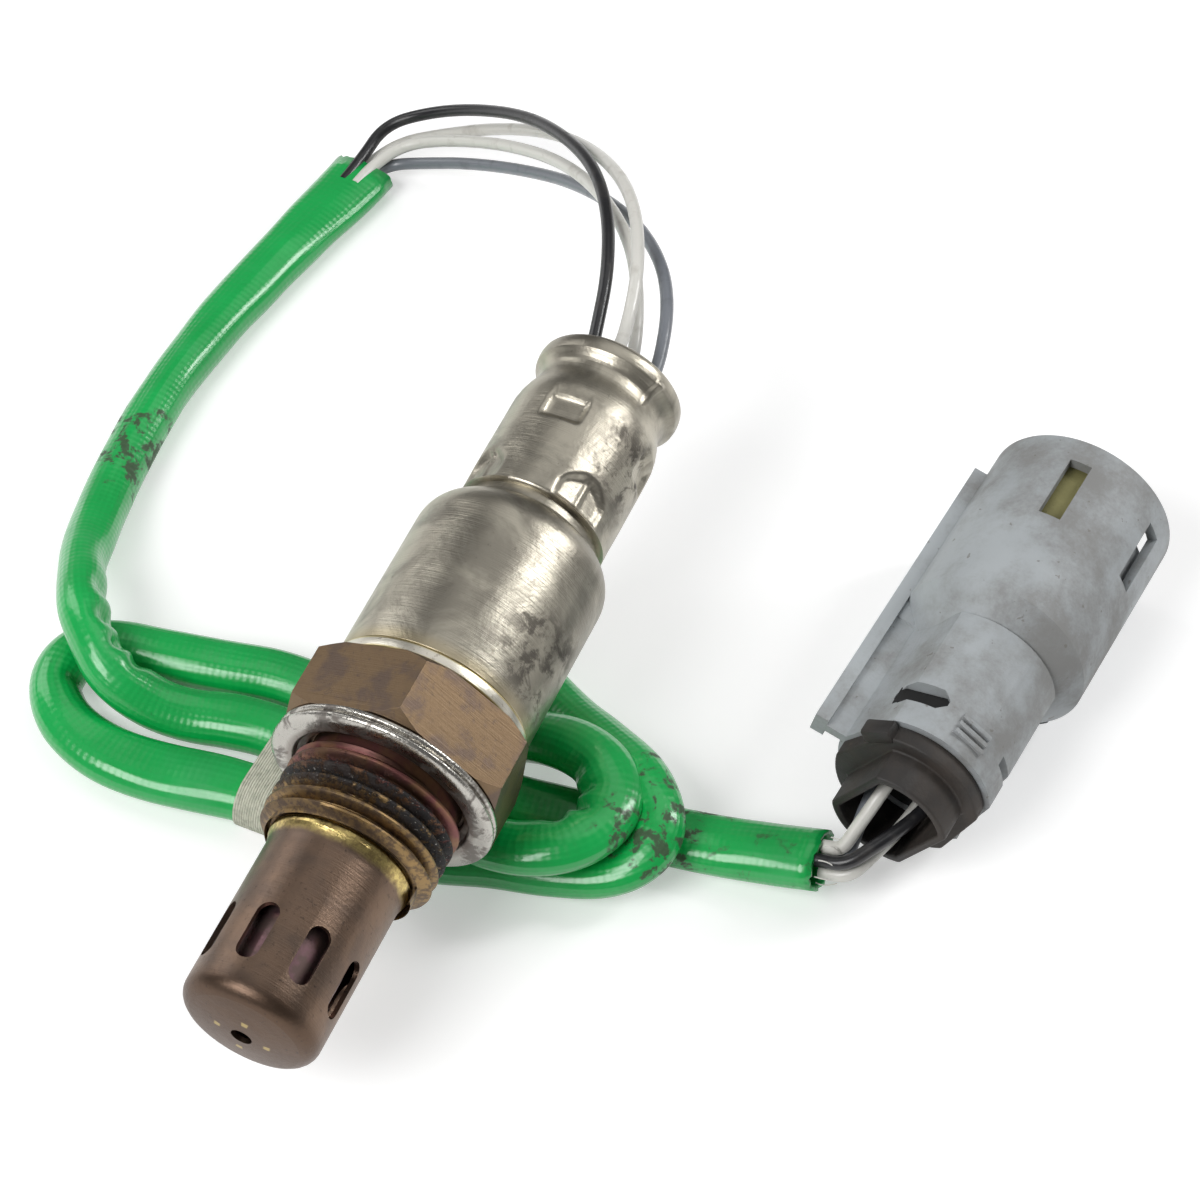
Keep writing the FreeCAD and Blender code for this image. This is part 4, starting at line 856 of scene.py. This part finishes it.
# Upper cover.
# A drawn cap closes the sensor round the rubber plug. Two rings of pressed dents lock it, the
# upper ones square and the lower ones arched, and its mouth is rolled to a bead.
CAP_RADIUS = 7.93
CRIMP_ROLL = -3.0
CRIMP_DEPTH = 0.8
SQUARE_STATION = 72.0
ARCH_STATION = 65.9
SEAM_TURN = -38
SEAM_HEIGHT = 0.28
cap_profile = [(61.8, CAP_RADIUS - 0.35, 0), (62.0, CAP_RADIUS, 0)]
cap_profile += [(62.0 + 0.28 * row, CAP_RADIUS, 0) for row in range(1, 41)]
cap_profile += [
    (74.2, 7.9, 0), (75.2, 7.74, 0), (76.2, 7.46, 0), (77.0, 7.16, 0), (77.7, 6.98, 0),
    (78.5, 6.96, 0), (79.1, 7.12, 0), (79.5, 7.5, 0), (79.85, 7.86, 0.1), (80.6, 7.98, 0.3),
    (81.5, 7.84, 0.35), (81.8, 7.2, 0.25), (81.75, 6.4, 0.15), (80.9, 6.3, 0), (77.0, 6.3, 0),
    (73.5, 6.4, 0), (61.8, 6.4, 0),
]
cap_mesh = lathe(cap_profile, 240)


def ease(value, edge, soft):
    """One below the edge and nothing above, with a smooth slope between."""
    share = min(max((edge + soft - value) / (2 * soft), 0), 1)
    return share * share * (3 - 2 * share)


for vert in cap_mesh.verts:
    station = vert.co.z / MM
    radius = vert.co.xy.length / MM
    if radius < 6.5:
        continue
    turn = math.degrees(math.atan2(vert.co.y, vert.co.x))
    sunk = 0.0
    for number in range(8):
        away = (turn - CRIMP_ROLL - 45 * number + 180) % 360 - 180
        across = radius * math.sin(math.radians(away))
        if abs(away) < 50:
            flat = max(0, radius - (CAP_RADIUS - CRIMP_DEPTH) / math.cos(math.radians(away)))
            if number % 2 == 0:
                edge = ease(abs(across), 2.1, 0.35) * ease(abs(station - SQUARE_STATION), 1.35, 0.4)
                sunk = max(sunk, flat * edge)
            else:
                crown = ARCH_STATION - 0.2 * across * across
                edge = ease(abs(across), 2.8, 0.5) * ease(station, crown, 0.45)
                edge *= ease(-station, -62.3, 0.4)
                crease = 0.2 * math.exp(-(across / 0.35) ** 2)
                sunk = max(sunk, (flat * 0.85 + 0.1 - crease) * edge)
    seam = ease(abs(turn - SEAM_TURN), 3.2, 0.6) * ease(abs(station - 79.1), 1.2, 0.2)
    ripple = 0.05 * noise.noise(Vector((vert.co.x, vert.co.y, vert.co.z)) * 260)
    vert.co.xy *= (radius - sunk + SEAM_HEIGHT * seam + ripple) / radius
cap_mesh.transform(SENSOR)
upper_cover = link_piece(cap_mesh, "cover_cap", cover_skin("upper_cover_skin", 66.0, 74.0), 60)
settle(upper_cover, ["upper_cover"])

# Rubber plug.
# A soft black plug fills the cap's neck and seals round the four wires where they leave it.
plug_mesh = lathe([
    (70.0, 0.3, 0), (70.0, 6.0, 0.2), (76.8, 6.0, 0.2), (77.2, 6.2, 0.1), (81.1, 6.2, 0.4),
    (81.1, 0.3, 0),
], 96)
plug_mesh.transform(SENSOR)
plug_rubber = Finish("plug_rubber", Base_Color=(0.02, 0.02, 0.02), Roughness=0.7).material
plug = link_piece(plug_mesh, "wire_plug", plug_rubber, 40)
settle(plug, ["grommet"])

# Cloth tape.
# A band of pale cloth tape, wound once round two strands of the sleeve beside the gasket.


def repaint(shown, material):
    """Gives a piece one surface in place of what it came with."""
    shown.data.materials.clear()
    shown.data.materials.append(material)


def tape_skin():
    """Woven cotton with a little fray."""
    skin = Finish("tape_skin")
    place = skin.place()
    sockets = {"Vector": place, "Scale": 1.2, "Distortion": 1.0}
    weave = skin.node("ShaderNodeTexWave", {"wave_type": "BANDS"}, sockets)
    fray = skin.cloud(place, 1.5, 5.0)
    color = skin.blend(skin.step(fray, 0.4, 0.7), (0.68, 0.69, 0.56), (0.5, 0.52, 0.41))
    skin.emboss(weave * 0.5 + fray, 0.2)
    return skin.coat(Base_Color=color, Roughness=0.85)


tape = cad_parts["hank_tape"]
repaint(tape, tape_skin())

# Connector housing.
# A grey moulded plug body: a round shroud with two windows, a narrower neck with curved openings
# and grip ribs, and a rail down its near side. Handling has left brownish grime on its faces.


def plastic(name, color, deep, grime, amount, roughness):
    """Moulded plastic with handling grime in soft patches and small specks."""
    skin = Finish(name)
    place = skin.place()
    slow = skin.cloud(place, 0.07, 3.0, 0.5)
    mid = skin.cloud(place, 0.17, 6.0, 0.72)
    fine = skin.cloud(place, 2.4, 4.0, 0.6)
    shade = skin.blend(skin.step(slow, 0.35, 0.65), color, deep)
    dirt = skin.step(mid * 0.6 + slow * 0.6 + fine * 0.08, 0.56, 0.8)
    specks = skin.step(skin.cloud(place, 0.9, 2.0), 0.7, 0.73)
    shade = skin.blend(dirt * amount, shade, grime)
    shade = skin.blend(specks * amount, shade, grime)
    skin.emboss(fine, 0.035)
    return skin.coat(Base_Color=shade, Roughness=roughness + dirt * 0.15 + fine * 0.08)


def mould(solid, shown_skin, width):
    """Rounds the edges of a moulded solid and gives it its surface."""
    weld = solid.modifiers.new("weld", "WELD")
    weld.merge_threshold = NEAR * MM
    flat = solid.modifiers.new("flat", "DECIMATE")
    flat.decimate_type = "DISSOLVE"
    flat.angle_limit = math.radians(0.6)
    soften(solid, width)
    repaint(solid, shown_skin)


SOCKET_AZIMUTH = math.radians(4.0)
SOCKET_ROLL = math.radians(33.4)
forward = Vector((math.sin(SOCKET_AZIMUTH), math.cos(SOCKET_AZIMUTH), 0))
upward = Vector((
    math.sin(SOCKET_ROLL) * math.cos(SOCKET_AZIMUTH),
    -math.sin(SOCKET_ROLL) * math.sin(SOCKET_AZIMUTH),
    math.cos(SOCKET_ROLL),
))
SOCKET = Matrix((upward.cross(forward), upward, forward)).transposed().to_4x4()
SOCKET.translation = Vector((43.26 * MM, 21.47 * MM, BENCH + 10.07 * MM))


def block(size, radius, station, turn, chamfer, segments=2):
    """A moulded block in the connector's frame, turned round its axis, with its edges eased."""
    mesh = bmesh.new()
    bmesh.ops.create_cube(mesh, size=MM)
    bmesh.ops.scale(mesh, verts=mesh.verts, vec=size)
    bmesh.ops.translate(mesh, verts=mesh.verts, vec=(radius * MM, 0, station * MM))
    bmesh.ops.bevel(
        mesh, geom=mesh.edges, offset=chamfer * MM, offset_type="OFFSET", segments=segments,
        profile=0.5, affect="EDGES", clamp_overlap=True, material=-1,
    )
    mesh.transform(SOCKET @ Matrix.Rotation(math.radians(turn), 4, "Z"))
    return mesh


HOUSING = plastic(
    "housing_skin", (0.42, 0.45, 0.465), (0.36, 0.385, 0.4), (0.17, 0.155, 0.135), 0.6, 0.46
)
body_mesh = bmesh.new()
body_mesh.from_mesh(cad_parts["connector_housing"].data)
bmesh.ops.remove_doubles(body_mesh, verts=body_mesh.verts, dist=NEAR * MM)
body_mesh = combine(body_mesh, block((4.4, 6.0, 2.5), 7.6, 11.3, 44, 0.9, 1), "DIFFERENCE")
half = bmesh.new()
bmesh.ops.create_cube(half, size=MM)
bmesh.ops.scale(half, verts=half.verts, vec=(30, 60, 120))
bmesh.ops.translate(half, verts=half.verts, vec=(-20.6 * MM, 0, 0))
# The far side is trimmed to the round of the neck, the cone and the shroud.
band_mesh = lathe([
    (-2.0, 8.26, 0), (22.9, 8.3, 0), (25.5, 10.12, 0), (49.0, 10.12, 0), (49.0, 14.0, 0),
    (-2.0, 14.0, 0),
])
band_mesh = combine(band_mesh, half, "INTERSECT")
band_mesh.transform(SOCKET)
body_mesh = combine(body_mesh, band_mesh, "DIFFERENCE")
housing = link_piece(body_mesh, "housing_body", HOUSING, 30)
mould(housing, HOUSING, 0.2)
settle(housing, ["connector_housing"])
# Painted shade: a near-black block fills the bottom of the pocket cut in the neck, in place of the
# shade inside it.
painted_pocket_shade = Finish("painted_pocket_shade", Base_Color=(0.012, 0.012, 0.012), Roughness=0.8).material
# Pieces that lie on the sleeve's cord
on_sleeve = [housing]
fillings = {
    "inner_wall": (block((1.2, 5.6, 11.0), 7.5, 38.2, 121.5, 0.2), HOUSING, "housing_grey"),
    "rail_foot": (block((3.4, 1.5, 3.4), 9.2, 24.6, -20.5, 0.3), HOUSING, "housing_grey"),
    "pocket_floor": (block((2.4, 5.6, 2.3), 5.7, 11.3, 44, 0.1), painted_pocket_shade, "black_rubber"),
}
for name, (mesh, surface, slot_name) in fillings.items():
    filling = link_piece(mesh, name, surface, 40)
    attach(filling, "root")
    on_sleeve.append(filling)

# Rear cap.
# A black moulded cap clips on behind the wire seal. Its hood is faceted and worn brown.
CAP = plastic("cap_skin", (0.02, 0.018, 0.017), (0.03, 0.026, 0.023), (0.06, 0.045, 0.035), 0.6, 0.5)
rear_mesh = bmesh.new()
rear_mesh.from_mesh(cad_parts["rear_cap"].data)
bmesh.ops.remove_doubles(rear_mesh, verts=rear_mesh.verts, dist=NEAR * MM)
seat = Matrix.Translation((0, 0.4 * MM, 7.1 * MM))
shrink = Matrix.Diagonal((0.95, 0.91, 0.82, 1))
rear_mesh.transform(SOCKET @ seat @ shrink @ seat.inverted() @ SOCKET.inverted())
rear_cap = link_piece(rear_mesh, "cap_moulding", CAP, 30)
mould(rear_cap, CAP, 0.25)
settle(rear_cap, ["rear_cap"])
cap_key = link_piece(block((1.6, 3.4, 1.9), 7.7, 5.9, 30, 0.3), "cap_key", CAP, 40)
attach(cap_key, "root")
on_sleeve += [rear_cap, cap_key]

# Terminal lock.
# An olive-yellow lock stands over the terminal tower and shows through the first window.
LOCK = plastic("lock_skin", (0.42, 0.39, 0.15), (0.3, 0.28, 0.11), (0.12, 0.11, 0.05), 0.4, 0.45)
mould(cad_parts["terminal_lock"], LOCK, 0.1)
plate = link_piece(block((1.4, 3.6, 11.6), 7.8, 41.0, 58.5, 0.25), "lock_plate", LOCK, 40)
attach(plate, "root")
on_sleeve += [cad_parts["terminal_lock"], plate]

# Frayed end.
# Loose fibres of the braid stand out where the sleeve was cut, beside the connector.
FIBRE_WIDTH = 0.14
fibres = []
for number in range(8):
    way = number * 0.8
    base = sleeve_points[-1] + Vector((0.2, 2.4 * math.sin(way), 2.3 * math.cos(way))) * MM
    wander = [noise.noise(base * 700 + Vector((shift, 0, 0))) for shift in (0, 31.4, 57.9)]
    wander = Vector(wander) * MM
    middle = base + Vector((0.9, 0, 0.3)) * MM + wander
    tip = base + Vector((1.8, 0.2, -0.2)) * MM - wander * 1.4
    fibres.append([base, middle, tip])
fray = spline_object("frayed_ends", fibres[0], FIBRE_WIDTH / 2 * MM)
for fibre in fibres[1:]:
    add_spline(fray.data, fibre)
fray.data.materials.append(WIRE_SKINS["white"])
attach(fray, "root")
on_sleeve.append(fray)

# Lead wires, the lower run.
# The same four wires leave the sleeve's far end and go through the cap's hood to their contacts.
for name in ("black", "white_a", "white_b", "grey"):
    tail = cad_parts["tail_" + name]
    repaint(tail, WIRE_SKINS[name.split("_")[0]])
    on_sleeve.append(tail)

# Inner parts.
# Fired ceramic, pressed talc, rubber and plated strip, all hidden by the covers.
CERAMIC = Finish("ceramic_skin", Base_Color=(0.78, 0.75, 0.68), Roughness=0.55).material
RUBBER = Finish("rubber_skin", Base_Color=(0.02, 0.02, 0.02), Roughness=0.7).material
STRIP = Finish("strip_skin", Base_Color=(0.55, 0.5, 0.38), Roughness=0.35, Metallic=1.0).material
inner_parts = {
    "sensing_element": CERAMIC, "heater_rod": CERAMIC, "ceramic_sleeve": CERAMIC,
    "terminal_holder": CERAMIC, "talc_seal": CERAMIC, "packing_washer": STRIP,
    "crimp_ring": STRIP, "wire_seal": RUBBER,
}
for number in range(1, 5):
    inner_parts["terminal_" + str(number)] = STRIP
    inner_parts["connector_contact_" + str(number)] = STRIP
for name, surface in inner_parts.items():
    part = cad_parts[name]
    repaint(part, surface)
    if name.startswith("connector_contact") or name == "wire_seal":
        on_sleeve.append(part)
